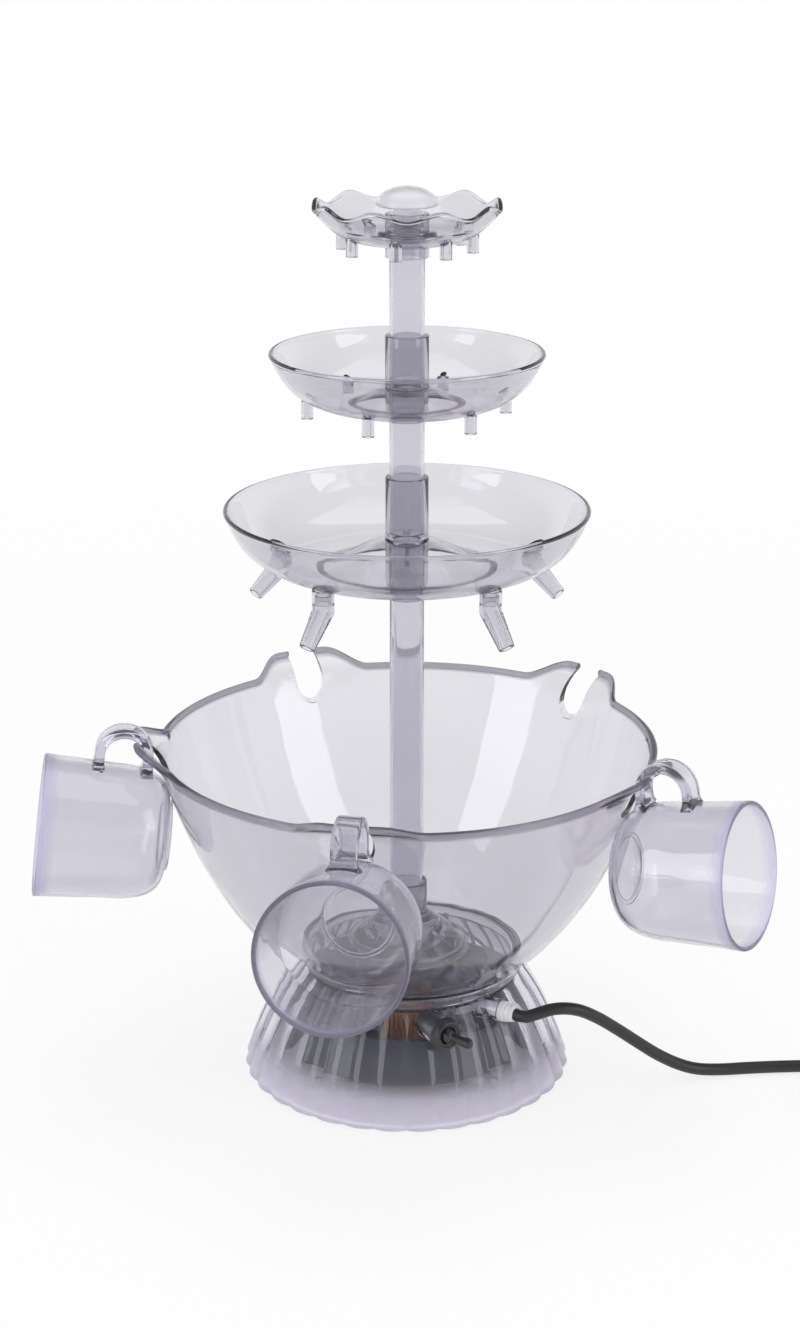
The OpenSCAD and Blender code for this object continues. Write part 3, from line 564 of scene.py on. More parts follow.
SPOUTS, SPOUT_TURN, SPOUT_RING, SPOUT_LEAN, SPOUT_L, SPOUT_R = 5, -36, 75, 40, 22.5, 6
SOCKET_L, SOCKET_IN, SOCKET_BORE_R, COLLAR_H = 0.5, 7, 4.7, 4
SPIGOT_R, SPIGOT_L, SPOUT_BORE_R, TIP_R, TIP_BORE_R = 4.6, 4.5, 3, 4.3, 2.6
SOCKET_Z = LARGE_LEDGE - LARGE_DROP - SOCKET_L
SWITCH = aim(78, 15.5, 53, 35)
GLAND = aim(73.5, 46, 55, 60)
GLAND_L = 9


# Cord, with its coil beyond the frame

CORD_D = 7
CORD_ROUTE = (
    (82, -58.5, 59.5), (95, -55, 57.5), (107, -49.5, 50), (119, -44, 40), (131, -39, 29.5),
    (143, -34.5, 19.5), (155, -30.5, 11.5), (167, -27, 6.2), (181, -23.8, 4), (197, -21.2, 3.6),
    (214, -19.6, 3.6), (231, -19, 3.8), (248, -18.8, 4.2), (266, -18.8, 4.5), (283, -18.8, 4.5),
)
PLUG_AT = (348, -14, 9)
TAIL_ROUTE = ((297, -15, 12.1), (309, -15, 11.9), (322, -14.5, 10.8), (335, -14.2, 9.6), PLUG_AT)
COIL_X, COIL_Y, COIL_LIFT = 290, -64, 4.5
COIL_IN_R, COIL_STEP, COIL_DIP = 30, 7.6, 1.2
LOWER_LOOPS, UPPER_LOOPS, CLIMB_LOOPS, LOOP_STEPS = 2, 2.5, 0.5, 24


def coil_point(t):
    """A point of the coil after t turns: inwards in the lower layer, up, and outwards in the upper one."""
    climb = min(1, max(0, (t - LOWER_LOOPS) / CLIMB_LOOPS))
    r = COIL_IN_R - COIL_DIP * math.sin(math.pi * climb)
    if t < LOWER_LOOPS:
        r = COIL_IN_R + (LOWER_LOOPS - t) * COIL_STEP
    elif t >= LOWER_LOOPS + CLIMB_LOOPS:
        r = COIL_IN_R + (t - LOWER_LOOPS - CLIMB_LOOPS) * COIL_STEP
    turn = 2 * math.pi * t
    rise = COIL_STEP * (1 - math.cos(math.pi * climb)) / 2
    return Vector((COIL_X + r * math.sin(turn), COIL_Y + r * math.cos(turn), COIL_LIFT + rise))


def cord_line():
    tip = GLAND @ Vector((0, 0, GLAND_L))
    line = [tip, GLAND @ Vector((0, 0, GLAND_L + CORD_D))]
    line += [Vector(p) for p in CORD_ROUTE]
    turns = LOWER_LOOPS + CLIMB_LOOPS + UPPER_LOOPS
    line += [coil_point(i / LOOP_STEPS) for i in range(int(turns * LOOP_STEPS) + 1)]
    line += [Vector(p) for p in TAIL_ROUTE]
    return line


def cord_piece():
    line = cord_line()
    data = bpy.data.curves.new("mains_cord", "CURVE")
    data.dimensions = "3D"
    data.bevel_depth = CORD_D / 2 * MM
    data.bevel_resolution = 5
    data.use_fill_caps = True
    strand = data.splines.new("POLY")
    smooth_line = []
    for i in range(len(line) - 1):
        before = line[max(i - 1, 0)]
        after = line[min(i + 2, len(line) - 1)]
        a, b = line[i], line[i + 1]
        steps = 5 if (b - a).length > 10.5 else 2
        for k in range(steps):
            t = k / steps
            bend = 2 * before - 5 * a + 4 * b - after
            twist = 3 * a - before - 3 * b + after
            smooth_line.append(0.5 * ((2 * a) + (b - before) * t + bend * t * t + twist * t**3))
    smooth_line.append(line[-1])
    strand.points.add(len(smooth_line) - 1)
    for point, place in zip(strand.points, smooth_line):
        point.co = (*(place * MM), 1)
    made = bpy.data.objects.new("mains_cord", data)
    SCENE.collection.objects.link(made)
    length = sum((b - a).length for a, b in zip(smooth_line, smooth_line[1:])) * MM
    return made, line[0] * MM, length


cord, cord_exit, cord_length = cord_piece()
piece(cord, SHEATH, "cord_black", "stand", "cord", "cord_coil", "cord_tail")


PLUG_L, BLADE_L, BLADE_OUT, BLADE_HOLE_R, BLADE_HOLE_AT = 32, 17, 6.35, 1.6, 12


def plug_piece():
    sections = ((0, 8.6, 8.6), (1, 9.4, 9.4), (7, 11, 10.5), (11, 15, 12.5), (14, 21, 15.5),
                (17, 24.6, 17.2), (20, 25.6, 17.9), (29, 25.6, 17.9), (31, 25.2, 17.5), (PLUG_L, 24, 16.4))
    work = bmesh.new()
    made = []
    for x, w, h in sections:
        outline = box_outline(w, h, min(w, h) * 0.44)
        made.append([work.verts.new((Vector(PLUG_AT) + Vector((x, y, z))) * MM) for y, z in outline])
    count = len(made[0])
    for low, high in zip(made, made[1:]):
        for k in range(count):
            work.faces.new((low[k], low[(k + 1) % count], high[(k + 1) % count], high[k]))
    work.faces.new(made[0])
    work.faces.new(made[-1])
    return from_bmesh("mains_plug", work)


def blades_piece():
    blades = []
    for side in (-1, 1):
        root = Vector(PLUG_AT) + Vector((PLUG_L, side * BLADE_OUT, 0))
        path = [(root + Vector((x, 0, 0)), (0, 1, 0), (0, 0, 1), scale)
                for x, scale in ((0, 1), (14.5, 1), (16, 0.92), (16.8, 0.7), (BLADE_L, 0.45))]
        blade = sweep("blade", path, box_outline(1.5, 6.3, 0.4))
        across = Matrix.Rotation(math.radians(90), 4, "X")
        hole_at = shift(*(root + Vector((BLADE_HOLE_AT, 0, 0))))
        hole = turned(rod("hole", BLADE_HOLE_R, -3, 3, 24), hole_at @ across)
        blades.append(combine(blade, "DIFFERENCE", hole))
    return joined("blade_pair", *blades)


plug = piece(plug_piece(), SHEATH, "cord_black", "stand", "plug_body")
blades = piece(blades_piece(), BRASS, "brass", "stand", "plug_blades")
tuple(cord_exit)
NODES["coil_tie"]


# Base

COVER_R, SKIRT_Z, COVER_WALL, COVER_EDGE = 94, 2, 4.4, 0.4
FLANGE_IN, FLANGE_Z = 48, 59.4
FLUTES, FLUTE_DEPTH, FLUTE_STEPS = 32, 1.8, 10
SWITCH_BOSS_R, SWITCH_FACE_R, SWITCH_BORE_R = 8.6, 9.8, 6.2
GLAND_BOSS_R, GLAND_FACE_R, GLAND_BORE_R = 6.4, 6.9, 4.2
BOSS_IN, FACE_L, BORE_IN = 14, 20, 26


def cover_piece():
    outer = curve((COVER_R, SKIRT_Z), (88, 20), (81, 42), (NECK_R, NECK_Z), 30)
    inner = [(r - COVER_WALL, z) for r, z in outer if z < FLANGE_Z - 1.9]
    flange = [(NECK_R, NECK_Z - COVER_EDGE), (NECK_R - 0.6, NECK_Z), (FLANGE_IN + COVER_EDGE, NECK_Z),
              (FLANGE_IN, NECK_Z - COVER_EDGE), (FLANGE_IN, FLANGE_Z + COVER_EDGE),
              (FLANGE_IN + COVER_EDGE, FLANGE_Z), (inner[-1][0] - 2, FLANGE_Z)]
    outline = outer[:-1] + flange + inner[::-1]
    fluted = len(outer) - 1

    def flute(r, z, a, j):
        if j >= fluted:
            return r, z
        phase = (a * FLUTES / (2 * math.pi)) % 1
        bulge = 1 - (2 * phase - 1) ** 2
        return r - FLUTE_DEPTH + FLUTE_DEPTH * bulge, z

    made = revolve("fluted_cover", outline, FLUTES * FLUTE_STEPS, flute)
    combine(made, "UNION", turned(rod("boss", SWITCH_BOSS_R, -BOSS_IN, 1, 64), SWITCH))
    combine(made, "UNION", turned(rod("boss", GLAND_BOSS_R, -BOSS_IN, 1, 60), GLAND))
    combine(made, "DIFFERENCE", turned(rod("spot_face", SWITCH_FACE_R, 0, FACE_L, 56), SWITCH))
    combine(made, "DIFFERENCE", turned(rod("spot_face", GLAND_FACE_R, 0, FACE_L, 52), GLAND))
    combine(made, "DIFFERENCE", turned(rod("bore", SWITCH_BORE_R, -BORE_IN, 3, 52), SWITCH))
    combine(made, "DIFFERENCE", turned(rod("bore", GLAND_BORE_R, -BORE_IN, 3, 44), GLAND))
    return made


piece(cover_piece(), BASE_PAINTED_SKIRT, "clear_base", "stand", "base_cover")


# Switch, bush and feet

BEZEL_R, KNURLS, KNURL_DEPTH = 9.5, 40, 0.3
LEVER_BALL_R, LEVER_OUT, LEVER_L, LEVER_TIP_R, LEVER_REST = 4.4, 3, 15, 3, 13
LEVER_PIN_R, LEVER_PIN_HALF = 1.5, 4.65
FOOT_R, FOOT_H, FOOT_TOP_R, FOOT_RING = 7, 3, 6.6, 78


def bush_piece():
    outline = eased([(0, -12), (4.1, -12, 0.4), (4.1, 0), (5.8, 0, 0.5), (5.8, 3.4, 0.5), (5.2, 3.8, 0.2),
                     (5.5, 4.4, 0.3), (5.4, 5.7, 0.3), (4.9, 6.1, 0.2), (5.1, 6.6, 0.3), (4.7, GLAND_L, 0.9),
                     (0, GLAND_L)])
    return turned(revolve("cord_bush", outline, 72, closed=False), GLAND)


def bezel_piece():
    outline = eased([(5, -2), (6, -2), (6, 0), (BEZEL_R, 0, 0.3), (BEZEL_R, 2.4, 0.4), (8.9, 2.8, 0.2),
                     (8.9, 3.4, 0.3), (8.0, 5, 0.8), (6.7, 5, 0.4), (6.2, 4.2, 0.4), (5, 4, 0.3)])

    def knurl(r, z, a, j):
        if r <= BEZEL_R - 0.3:
            return r, z
        return r - KNURL_DEPTH * (0.5 + 0.5 * math.cos(KNURLS * a)), z

    return turned(revolve("switch_ring", outline, 320, knurl), SWITCH)


def lever_piece():
    outline = (arc((0, 0), LEVER_BALL_R, -90, 58, 14)
               + curve((2.25, 4.2), (2.2, 7), (2.5, 11), (LEVER_TIP_R, LEVER_L), 8)
               + arc((0, LEVER_L), LEVER_TIP_R, 10, 90, 8))
    made = revolve("switch_toggle", outline, 48, closed=False)
    pin = rod("pin", LEVER_PIN_R, -LEVER_PIN_HALF, LEVER_PIN_HALF, 32)
    combine(made, "UNION", turned(pin, Matrix.Rotation(math.radians(90), 4, "X")))
    return turned(made, SWITCH @ shift(0, 0, LEVER_OUT) @ Matrix.Rotation(math.radians(LEVER_REST), 4, "Y"))


def feet_piece():
    def foot():
        return rod("foot", FOOT_R, 0, FOOT_H, 48, 0.9, FOOT_TOP_R)

    return joined("rubber_feet", around("ring_feet", foot, 4, 0, FOOT_RING), foot())


piece(bush_piece(), WHITE, "white_plastic", "stand", "cord_gland")
piece(bezel_piece(), BLACK, "black_plastic", "stand", "switch_bezel")
piece(lever_piece(), BLACK, "black_plastic", "lever", "switch_lever")
piece(feet_piece(), RUBBER, "black_rubber", "stand", "feet")


# Motor winding: turns of wire round the stator's front leg, between two cheeks, with a band of tape

LEG_Y, LEG_Z = -36, 44


def winding_piece():
    turns, steps, wire_r, half_l = 22, 40, 0.52, 11.6
    half_w, half_h, corner = 11.7, 12.2, 4.5
    loop = box_outline(2 * half_w, 2 * half_h, corner)
    path = []
    for i in range(turns * steps + 1):
        share = (i % steps) / steps * len(loop)
        k = int(share)
        y0, z0 = loop[k]
        y1, z1 = loop[(k + 1) % len(loop)]
        y, z = y0 + (y1 - y0) * (share - k), z0 + (z1 - z0) * (share - k)
        x = -half_l + 2 * half_l * i / (turns * steps)
        out = Vector((0, y, z)).normalized()
        path.append(((x, LEG_Y + y, LEG_Z + z), (1, 0, 0), out, 1))
    corners = [math.radians(a) for a in range(0, 360, 60)]
    section = [(wire_r * math.cos(a), wire_r * math.sin(a)) for a in corners]
    return sweep("copper_turns", path, section)


def bobbin_piece():
    def frame_box(name, x0, x1, width, height, radius):
        path = [((x, LEG_Y, LEG_Z), (0, 1, 0), (0, 0, 1), 1) for x in (x0, x1)]
        return sweep(name, path, box_outline(width, height, radius))

    made = frame_box("coil_bobbin", -12.4, 12.4, 22.2, 23.2, 4)
    for side in (-1, 1):
        combine(made, "UNION", frame_box("cheek", side * 12.2, side * 14, 24.9, 25.9, 3))
    combine(made, "DIFFERENCE", frame_box("leg_way", -20, 20, 12.4, 12.4, 0.2))
    return made


piece(winding_piece(), COPPER, "coil_tape", "stand", "motor_coil")
piece(bobbin_piece(), TAPE, "coil_tape", "stand", "motor_coil")


# Bowl

def ear_share(angle):
    """How far an ear is drawn out of the rim at an angle: 1 over its crown, 0 between ears."""
    away = abs((math.degrees(angle) - HOOK_TURN + HOOK_STEP / 2) % HOOK_STEP - HOOK_STEP / 2)
    if away <= EAR_CROWN:
        return 1.0
    if away >= EAR_HALF:
        return 0.0
    return 0.5 + 0.5 * math.cos(math.pi * (away - EAR_CROWN) / (EAR_HALF - EAR_CROWN))


def painted_shade_on_bead(place):
    """How far a point of the bowl takes the painted dark line along the bead of its rim and its ears."""
    share = ear_share(math.atan2(place.x, -place.y))
    out = math.hypot(place.x, place.y) / MM - BOWL_R + BOWL_WALL / 2 - share * FLARE_OUT
    up = place.z / MM - RIM_Z - share * FLARE_UP
    return 0.5 * min(1, max(0, RIM_BEAD + 1.2 - math.hypot(out, up)))


KEYHOLE_OUT, KEYHOLE_UP, KEYHOLE_LEAN, KEYHOLE_R = 3, 1, 37, 9
THROAT_HALF, THROAT_L, CUT_HALF = 3.75, 30, 20
NOTCH_GAP, NOTCH_SIDE = 0.3, 0.5


def keyhole_cutter(turn):
    """What is cut from an ear: a round hole, a throat up to its edge, and a notch for a cup's strap."""
    lean = Matrix.Rotation(math.radians(-KEYHOLE_LEAN - 90), 4, "X")
    place = spin(turn) @ shift(0, -BOWL_R - KEYHOLE_OUT, RIM_Z + KEYHOLE_UP) @ lean
    hole = turned(rod("hole", KEYHOLE_R, -CUT_HALF, CUT_HALF, 48), place)
    way = [((0, 0, z), (1, 0, 0), (0, 1, 0), 1) for z in (-CUT_HALF, CUT_HALF)]
    corners = [(-THROAT_HALF, -THROAT_L), (THROAT_HALF, -THROAT_L), (THROAT_HALF, 0), (-THROAT_HALF, 0)]
    throat = turned(sweep("throat", way, corners), place)
    room, half = STRAP_T / 2 + NOTCH_GAP, STRAP_W / 2 + NOTCH_SIDE
    notch = pipe("notch", STRAP_R + room, STRAP_R - room, -half, half, 96, 0)
    turned(notch, spin(turn) @ shift(0, -ARCH_R, ARCH_Z) @ Matrix.Rotation(math.radians(90), 4, "Y"))
    return hole, throat, notch


def bowl_piece():
    foot = (70, FLOOR_Z)
    outer = curve(foot, (96, 90), (126, 138), (BOWL_R, RIM_Z), 96)
    inner = inset(outer, BOWL_WALL)
    bead = (BOWL_R - BOWL_WALL / 2, RIM_Z)
    bead_low = RIM_Z - 1.6

    def side(points):
        return [p for i, p in enumerate(points) if p[1] < bead_low and (i % 2 == 0 or p[1] > EAR_ROOT)]

    inside = side(inner)
    seat = eased([(NECK_R - FOOT_W, NECK_Z, 0.8), (NECK_R, NECK_Z, 0.8), (NECK_R, NECK_Z + 4)], 3)[:-1]
    neck = curve((NECK_R, NECK_Z + 3), (NECK_R, NECK_Z + 6), (67.5, 70.5), foot, 6)[:-1]
    sump = curve(inside[0], (inside[0][0] - 1.5, FLOOR_Z + 0.6), (NECK_R, FLOOR_Z), (64.5, FLOOR_Z), 5)[1:]
    under = FLOOR_Z - FLOOR_T
    floor = [(40, FLOOR_Z), (SEAL_R + 0.4, FLOOR_Z), (SEAL_R, FLOOR_Z - 0.4), (SEAL_R, under + 0.4),
             (SEAL_R + 0.4, under), (40, under), (NECK_R - FOOT_W - 0.8, under),
             (NECK_R - FOOT_W, under - 0.8)]
    outline = seat + neck + side(outer) + arc(bead, RIM_BEAD, -40, 222, 20) + inside[::-1] + sump + floor
    flare = curve((0, 0), (1, 3.2), (5, 7.5), (FLARE_OUT, FLARE_UP), FLARE_STEPS)

    def draw_ears(r, z, a, j):
        share = ear_share(a)
        rise = min(1, max(0, (z - EAR_ROOT) / (bead_low - EAR_ROOT)))
        out, up = flare[round(FLARE_STEPS * rise)]
        return r + share * out, z + share * up

    made = revolve("bowl_shell", outline, 360, draw_ears)
    for k in range(HOOKS):
        for cutter in keyhole_cutter(HOOK_TURN + HOOK_STEP * k):
            combine(made, "DIFFERENCE", cutter)
    # Painted shade: a dark line along the bead
    mark_painted_lip(made, painted_shade_on_bead)
    return made


piece(bowl_piece(), BOWL, "clear_plastic", "stand", "bowl")


# Column and tiers

for name, body, low, high in (
    ("lower_tube", "column", PUMP_SEAT, LARGE_LEDGE - LEDGE_GAP),
    ("middle_tube", "middle_stage", LARGE_LEDGE + LEDGE_H + LEDGE_GAP, MIDDLE_LEDGE),
    ("upper_tube", "top_stage", MIDDLE_LEDGE + LEDGE_H + LEDGE_GAP, TOP_LEDGE),
):
    made = pipe("riser_" + name, TUBE_R, TUBE_IN, low, high, 96, 0.5)
    piece(made, TUBE, "clear_tube", body, name)


PUMP_R, PUMP_IN, PUMP_LOW, PUMP_TOP = 36, 33, 72.2, 113
INTAKES, INTAKE_R, INTAKE_RING, INTAKE_TURN, INTAKE_Z = 8, 2, 30, 12, 81


def pump_piece():
    outline = eased([(PUMP_R, PUMP_LOW, 0.4), (PUMP_R, 76, 0.6), (PUMP_IN, 77, 1.5),
                     (HUB_R + 1, PUMP_SEAT - 3, 3), (HUB_R, PUMP_SEAT, 2), (HUB_R, PUMP_TOP, 0.7),
                     (HUB_IN, PUMP_TOP, 0.5), (HUB_IN, PUMP_SEAT, 0.2), (TUBE_IN, PUMP_SEAT, 0.2),
                     (TUBE_IN, PUMP_SEAT - 3, 0.6), (20, 88.5, 2), (20, 76, 0.6), (PUMP_IN, 75, 0.5),
                     (PUMP_IN, PUMP_LOW, 0.4)], 5)
    made = revolve("pump_dome", outline, 96)

    def intake():
        return turned(rod("intake_hole", INTAKE_R, -10, 10, 24), Matrix.Rotation(math.radians(90), 4, "Y"))

    holes = around("intake", intake, INTAKES, INTAKE_TURN, INTAKE_RING)
    return combine(made, "DIFFERENCE", turned(holes, shift(0, 0, INTAKE_Z)))


piece(pump_piece(), CLEAR, "clear_plastic", "column", "pump_cover")


def tray_outline(r, depth, drop, flat, dome, dome_h, hub_down, hub_up, ledge):
    """The section of a tier, from its hub out to its rim and back."""
    low = ledge - drop
    rim = low + depth
    outer = curve((flat, low), (r - 0.4 * (r - flat), low + 2), (r - 8, low + depth * 0.34), (r, rim), 28)
    inner = inset(outer, TRAY_WALL)
    lip = (r - TRAY_WALL / 2, rim)
    outside = [p for p in outer if p[1] < rim - 1.0]
    inside = [p for p in inner if p[1] < rim - 1.0]
    rise = dome_h * (dome + 1 - HUB_R) / (dome + 0.5 - HUB_IN)
    under = curve((dome, low), (dome - 7, low), (HUB_R + 6, low + rise), (HUB_R, low + rise), 10)
    crown = low + rise + TRAY_WALL
    over = curve((HUB_R, crown), (HUB_R + 6, crown), (dome - 7, low + TRAY_WALL), (dome, low + TRAY_WALL), 10)
    hub_low, hub_high = ledge - hub_down, ledge + hub_up
    hub = eased([(HUB_R, low + rise), (HUB_R, hub_low, 0.5), (HUB_IN, hub_low, 0.4), (HUB_IN, ledge),
                 (TUBE_IN, ledge), (TUBE_IN, ledge + LEDGE_H), (HUB_IN, ledge + LEDGE_H),
                 (HUB_IN, hub_high, 0.5), (HUB_R, hub_high, 0.5), (HUB_R, crown)], 3)[1:-1]
    return hub + over + inside + arc(lip, TRAY_WALL * 0.6, 200, -40, 12) + outside[::-1] + under


def large_piece():
    outline = tray_outline(r=100, depth=35, drop=LARGE_DROP, flat=46, dome=50, dome_h=17,
                           hub_down=34, hub_up=34, ledge=LARGE_LEDGE)
    made = revolve("large_tray", outline, 192)

    def socket():
        return rod("socket", SPOUT_R, SOCKET_Z, SOCKET_Z + SOCKET_L + SOCKET_IN, 48, 0.4)

    def bore():
        return rod("bore", SOCKET_BORE_R, SOCKET_Z - 1, SOCKET_Z + 30, 48)

    combine(made, "UNION", around("sockets", socket, SPOUTS, SPOUT_TURN, SPOUT_RING))
    return combine(made, "DIFFERENCE", around("bores", bore, SPOUTS, SPOUT_TURN, SPOUT_RING))


piece(large_piece(), CLEAR, "clear_plastic", "large_stage", "large_tier")


def spout_piece(k):
    """A spigot, a collar and a nose that leans outwards, with a bore all the way."""
    elbow = shift(0, 0, -COLLAR_H)
    lean = elbow @ Matrix.Rotation(math.radians(180 - SPOUT_LEAN), 4, "X")
    outline = (arc((0, -COLLAR_H), SPOUT_R, -90, 0, 10)
               + eased([(SPOUT_R, 1 - COLLAR_H), (SPOUT_R, 0, 0.4), (SPIGOT_R, 0), (SPIGOT_R, SPIGOT_L, 0.5),
                        (0, SPIGOT_L)]))
    made = revolve("nozzle", outline, 48, closed=False)
    combine(made, "UNION", turned(rod("nose", SPOUT_R - 0.05, 0, SPOUT_L, 60, 0.5, TIP_R), lean))
    bore = rod("bore", SPOUT_BORE_R, -COLLAR_H, 12, 40)
    ball = revolve("turn", arc((0, 0), SPOUT_BORE_R + 0.05, -90, 90, 12), 44, closed=False)
    combine(bore, "UNION", turned(ball, elbow))
    nose_bore = rod("nose_bore", SPOUT_BORE_R - 0.02, 0, SPOUT_L + 1, 36, 0, TIP_BORE_R)
    combine(bore, "UNION", turned(nose_bore, lean))
    combine(made, "DIFFERENCE", bore)
    turned(made, spin(SPOUT_TURN + 360 / SPOUTS * k) @ shift(0, -SPOUT_RING, SOCKET_Z))
    made.name = "spout_nozzle_%d" % (k + 1)
    return made


for k in range(SPOUTS):
    piece(spout_piece(k), CLEAR, "clear_plastic", "large_stage", "spout_%d" % (k + 1))


NUB_R, NUB_L, NUB_IN, NUB_BORE_R = 3.3, 4, 6, 1.8


def nubs_on(made, low, count, turn, radius):
    """Adds a ring of short drip tubes under a tray."""
    def nub():
        return rod("nub", NUB_R, low - NUB_L, low + NUB_IN, 32, 0.5)

    def drip():
        return rod("drip", NUB_BORE_R, low - NUB_L - 1, low + 16, 24)

    tubes = around("nubs", nub, count, turn, radius)
    bores = around("drips", drip, count, turn, radius)
    combine(made, "UNION", tubes)
    return combine(made, "DIFFERENCE", bores)


MIDDLE_DROP, TOP_DROP, TOP_DEPTH = 14, 7, 21
WAVES, WAVE_H, WAVE_ROOT = 9, 4, 14


def middle_piece():
    outline = tray_outline(r=74, depth=30, drop=MIDDLE_DROP, flat=28, dome=32, dome_h=12,
                           hub_down=20, hub_up=26, ledge=MIDDLE_LEDGE)
    made = revolve("middle_tray", outline, 160)
    return nubs_on(made, MIDDLE_LEDGE - MIDDLE_DROP, count=6, turn=-22, radius=54)


piece(middle_piece(), CLEAR, "clear_plastic", "middle_stage", "middle_tier")


def top_piece():
    outline = tray_outline(r=50, depth=TOP_DEPTH, drop=TOP_DROP, flat=18, dome=20, dome_h=5,
                           hub_down=14, hub_up=9, ledge=TOP_LEDGE)
    low = TOP_LEDGE - TOP_DROP
    rim = low + TOP_DEPTH

    def wave(r, z, a, j):
        share = max(0, (z - (rim - WAVE_ROOT)) / WAVE_ROOT) if r > 40 else 0
        dip = WAVE_H / 2 * (1 + math.cos(WAVES * a))
        return r, z - dip * share**1.5 + 0.6 * share

    made = revolve("top_tray", outline, 180, wave)
    return nubs_on(made, low, count=8, turn=-10, radius=35)


piece(top_piece(), CLEAR, "clear_plastic", "top_stage", "top_tier")


def cap_piece():
    seat = TOP_LEDGE + LEDGE_H + LEDGE_GAP
    lift = seat + 10
    dome = [(r, lift + z) for r, z in curve((16.8, 0.5), (15.5, 7), (7.6, 10), (0, 10), 18)]
    under = [(r, lift + z) for r, z in curve((0, 8), (7, 8), (12.6, 5.2), (14.4, 0.4), 14)]
    edge = arc((15.6, lift + 0.6), 0.9, 0, -140, 6)
    made = revolve("cap_dome", dome[::-1] + edge + under[::-1], 96, closed=False)
    leg_r = (TUBE_R - TUBE_IN) / 2
    legs = around("legs", lambda: rod("leg", leg_r, seat + 2, lift + 7.7, 24), 4, 45, TUBE_R - leg_r)
    combine(made, "UNION", legs)
    return combine(made, "UNION", pipe("stem", TUBE_R, TUBE_IN, seat, seat + 6, 64, 0.4))


piece(cap_piece(), CAP, "clear_plastic", "cap", "diverter_cap")


# Cups

CUP_WALL, CUP_FOOT_H, CUP_FOOT_R, CUP_FOOT_W, CUP_FLOOR = 2.4, 1.5, 20, 2.2, 3.95
CUP_R, CUP_SIDE_Z, CUP_TAPER, CUP_SIDE_L = 38, 34, 2, 37.8
# Share, depth and fade of the painted glow at a cup's lip
LIP_GLOW, LIP_GLOW_DEPTH, LIP_GLOW_FADE = 0.6, 8, 7
ROOTS_LOW = ((35.9, 1.4), (37.6, 1.25), (39.4, 1.08), (42, 1.0))
ROOTS_HIGH = ((42, 1.0), (40, 1.08), (38.4, 1.25), (36.7, 1.4))


def cup_piece(name, turn):
    """A cup made upright, with its strap to one side, and then hung over a hook."""
    low = CUP_FOOT_H
    outer = curve((CUP_FOOT_R, low), (35, 2), (CUP_R, 15), (CUP_R, CUP_SIDE_Z), 22)
    for t in (0.2, 0.4, 0.6, 0.8, 0.9, 0.96, 1):
        outer.append((CUP_R + CUP_TAPER * t, CUP_SIDE_Z + CUP_SIDE_L * t))
    inner = inset(outer, CUP_WALL)
    edge = (outer[-1][0] - CUP_WALL / 2, outer[-1][1])
    foot_in = CUP_FOOT_R - CUP_FOOT_W
    foot = eased([(15, low), (foot_in, low, 0.4), (foot_in, 0, 0.5), (CUP_FOOT_R, 0, 0.6),
                  (CUP_FOOT_R, low)], 3)
    outline = ([(0, low)] + foot[1:-1] + outer + arc(edge, CUP_WALL / 2, 20, 160, 8) + inner[::-1]
               + [(10, CUP_FLOOR), (0, CUP_FLOOR)])
    made = revolve(name + "_shell", outline, 144, closed=False)
    path = [((x, 0, ARCH_ALONG - STRAP_R), (0, 1, 0), (0, 0, 1), wide) for x, wide in ROOTS_LOW]
    for i in range(25):
        a = math.radians(-90 + 180 * i / 24)
        place = (ARCH_UP + STRAP_R * math.cos(a), 0, ARCH_ALONG + STRAP_R * math.sin(a))
        path.append((place, (0, 1, 0), (-math.cos(a), 0, -math.sin(a)), 1.0))
    for x, wide in ROOTS_HIGH:
        path.append(((x, 0, ARCH_ALONG + STRAP_R), (0, 1, 0), (0, 0, -1), wide))
    strap = sweep(name + "_strap", path, box_outline(STRAP_W, STRAP_T, 1.6))
    combine(made, "UNION", strap)

    # Painted light: a pale glow that grows towards the lip
    def painted_glow_on_lip(place):
        return LIP_GLOW * min(1, max(0, (place.z / MM - CUP_L + LIP_GLOW_DEPTH) / LIP_GLOW_FADE))

    mark_painted_lip(made, painted_glow_on_lip)
    place = (spin(turn) @ shift(0, -ARCH_R, ARCH_Z) @ Matrix.Rotation(math.radians(-CUP_TILT), 4, "X")
             @ Matrix.Rotation(math.radians(90), 4, "X") @ spin(90) @ shift(-ARCH_UP, 0, -ARCH_ALONG))
    return turned(made, place)


for name, body, k in (
    ("cup_left", "left_cup", -1),
    ("cup_front", "front_cup", 0),
    ("cup_right", "right_cup", 1),
):
    piece(cup_piece(name, HOOK_TURN + HOOK_STEP * k), CUP, "clear_plastic", body, name)


# Finishes of the solids that stay

for look, names in (
    (GREY, ("base_plate", "terminal_block")),
    (RUBBER, ("shaft_seal",)),
    (STEEL, ("plate_screws", "motor_screws", "bowl_screws", "motor_shaft", "motor_bridge")),
    (LAMINATION, ("stator_core", "motor_rotor")),
    (NAVY, ("motor_tray",)),
    (BRONZE, ("lower_bearing", "upper_bearing")),
    (WHITE, ("impeller", "coil_tie")),
    (BLACK, ("switch_body",)),
):
    for name in names:
        NODES[name].data.materials.clear()
        NODES[name].data.materials.append(look)


# Floor, light and background: clear pieces mirror white walls and a dim ceiling, so their edges draw lines

ROOM, DIM, CEILING_LOW, CEILING_HIGH = 0.62, 0.05, 0.2, 0.6
FLOOR_HALF, FLOOR_WHITE, FLOOR_NEAR, FLOOR_FAR = 12, 0.78, 0.5, 1.6


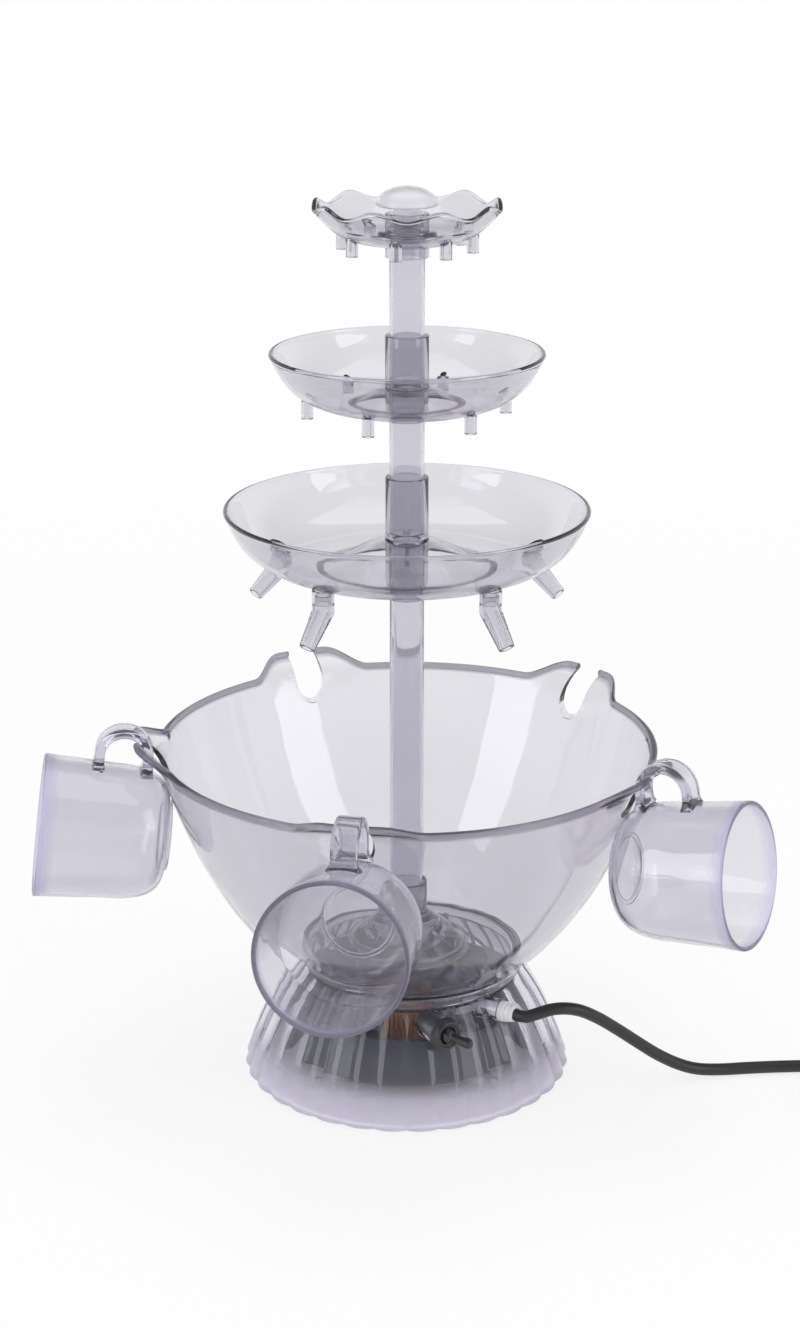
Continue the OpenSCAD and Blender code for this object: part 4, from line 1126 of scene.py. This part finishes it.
def floor_piece():
    work = bmesh.new()
    bmesh.ops.create_grid(work, x_segments=1, y_segments=1, size=FLOOR_HALF)
    made = from_bmesh("pale_floor", work)
    look = new_look("pale_floor")
    ray = look.node("ShaderNodeLightPath")
    seen = ray["Is Camera Ray"] + ray["Is Glossy Ray"] + ray["Is Transmission Ray"]
    matt = look.node("ShaderNodeBsdfDiffuse", {"Color": (0.9, 0.9, 0.9, 1)})["BSDF"]
    glow = look.node("ShaderNodeEmission", {"Color": (1, 1, 1, 1), "Strength": 1.0})["Emission"]
    reach = look.node("ShaderNodeVectorMath", {0: look.place()}, operation="LENGTH")["Value"]
    white = FLOOR_WHITE + (1 - FLOOR_WHITE) * ramp(look, reach, FLOOR_NEAR, FLOOR_FAR)
    mixed = look.node("ShaderNodeMixShader", {0: seen * white, 1: matt, 2: glow})["Shader"]
    made.data.materials.append(look.finish(mixed))
    made.location.z = -0.0003


floor_piece()


def softbox(name, place, target, width, height, power):
    data = bpy.data.lights.new(name, "AREA")
    data.shape = "RECTANGLE"
    data.size = width
    data.size_y = height
    data.energy = power
    made = bpy.data.objects.new(name, data)
    made.location = place
    made.rotation_euler = (Vector(target) - Vector(place)).to_track_quat("-Z", "Y").to_euler()
    SCENE.collection.objects.link(made)


softbox("left_softbox", (-1.5, -1.0, 1.0), (0, 0, 0.28), 0.8, 1.5, 11)
softbox("right_softbox", (1.5, -0.9, 1.0), (0, 0, 0.28), 0.8, 1.5, 11)
softbox("top_softbox", (0, 0.2, 2.2), (0, 0, 0.2), 2.0, 2.0, 16)


def studio_world():
    sky = Look(bpy.data.worlds.new("studio"))
    ray = sky.node("ShaderNodeLightPath")
    height = sky.node("ShaderNodeSeparateXYZ", {0: sky.node("ShaderNodeTexCoord")["Generated"]})["Z"]
    bent = ray["Is Glossy Ray"] + ray["Is Transmission Ray"]

    def wall(strength):
        return sky.node("ShaderNodeBackground", {"Color": (1, 1, 1, 1), "Strength": strength})["Background"]

    def mix(share, first, second):
        return sky.node("ShaderNodeMixShader", {0: share, 1: first, 2: second})["Shader"]

    field = mix(ramp(sky, height, CEILING_LOW, CEILING_HIGH), wall(1.0), wall(DIM))
    mixed = mix(ray["Is Camera Ray"], mix(bent, wall(ROOM), field), wall(1.0))
    output = sky.tree.nodes.new("ShaderNodeOutputWorld")
    sky.tree.links.new(mixed.socket, output.inputs["Surface"])
    SCENE.world = sky.owner


studio_world()
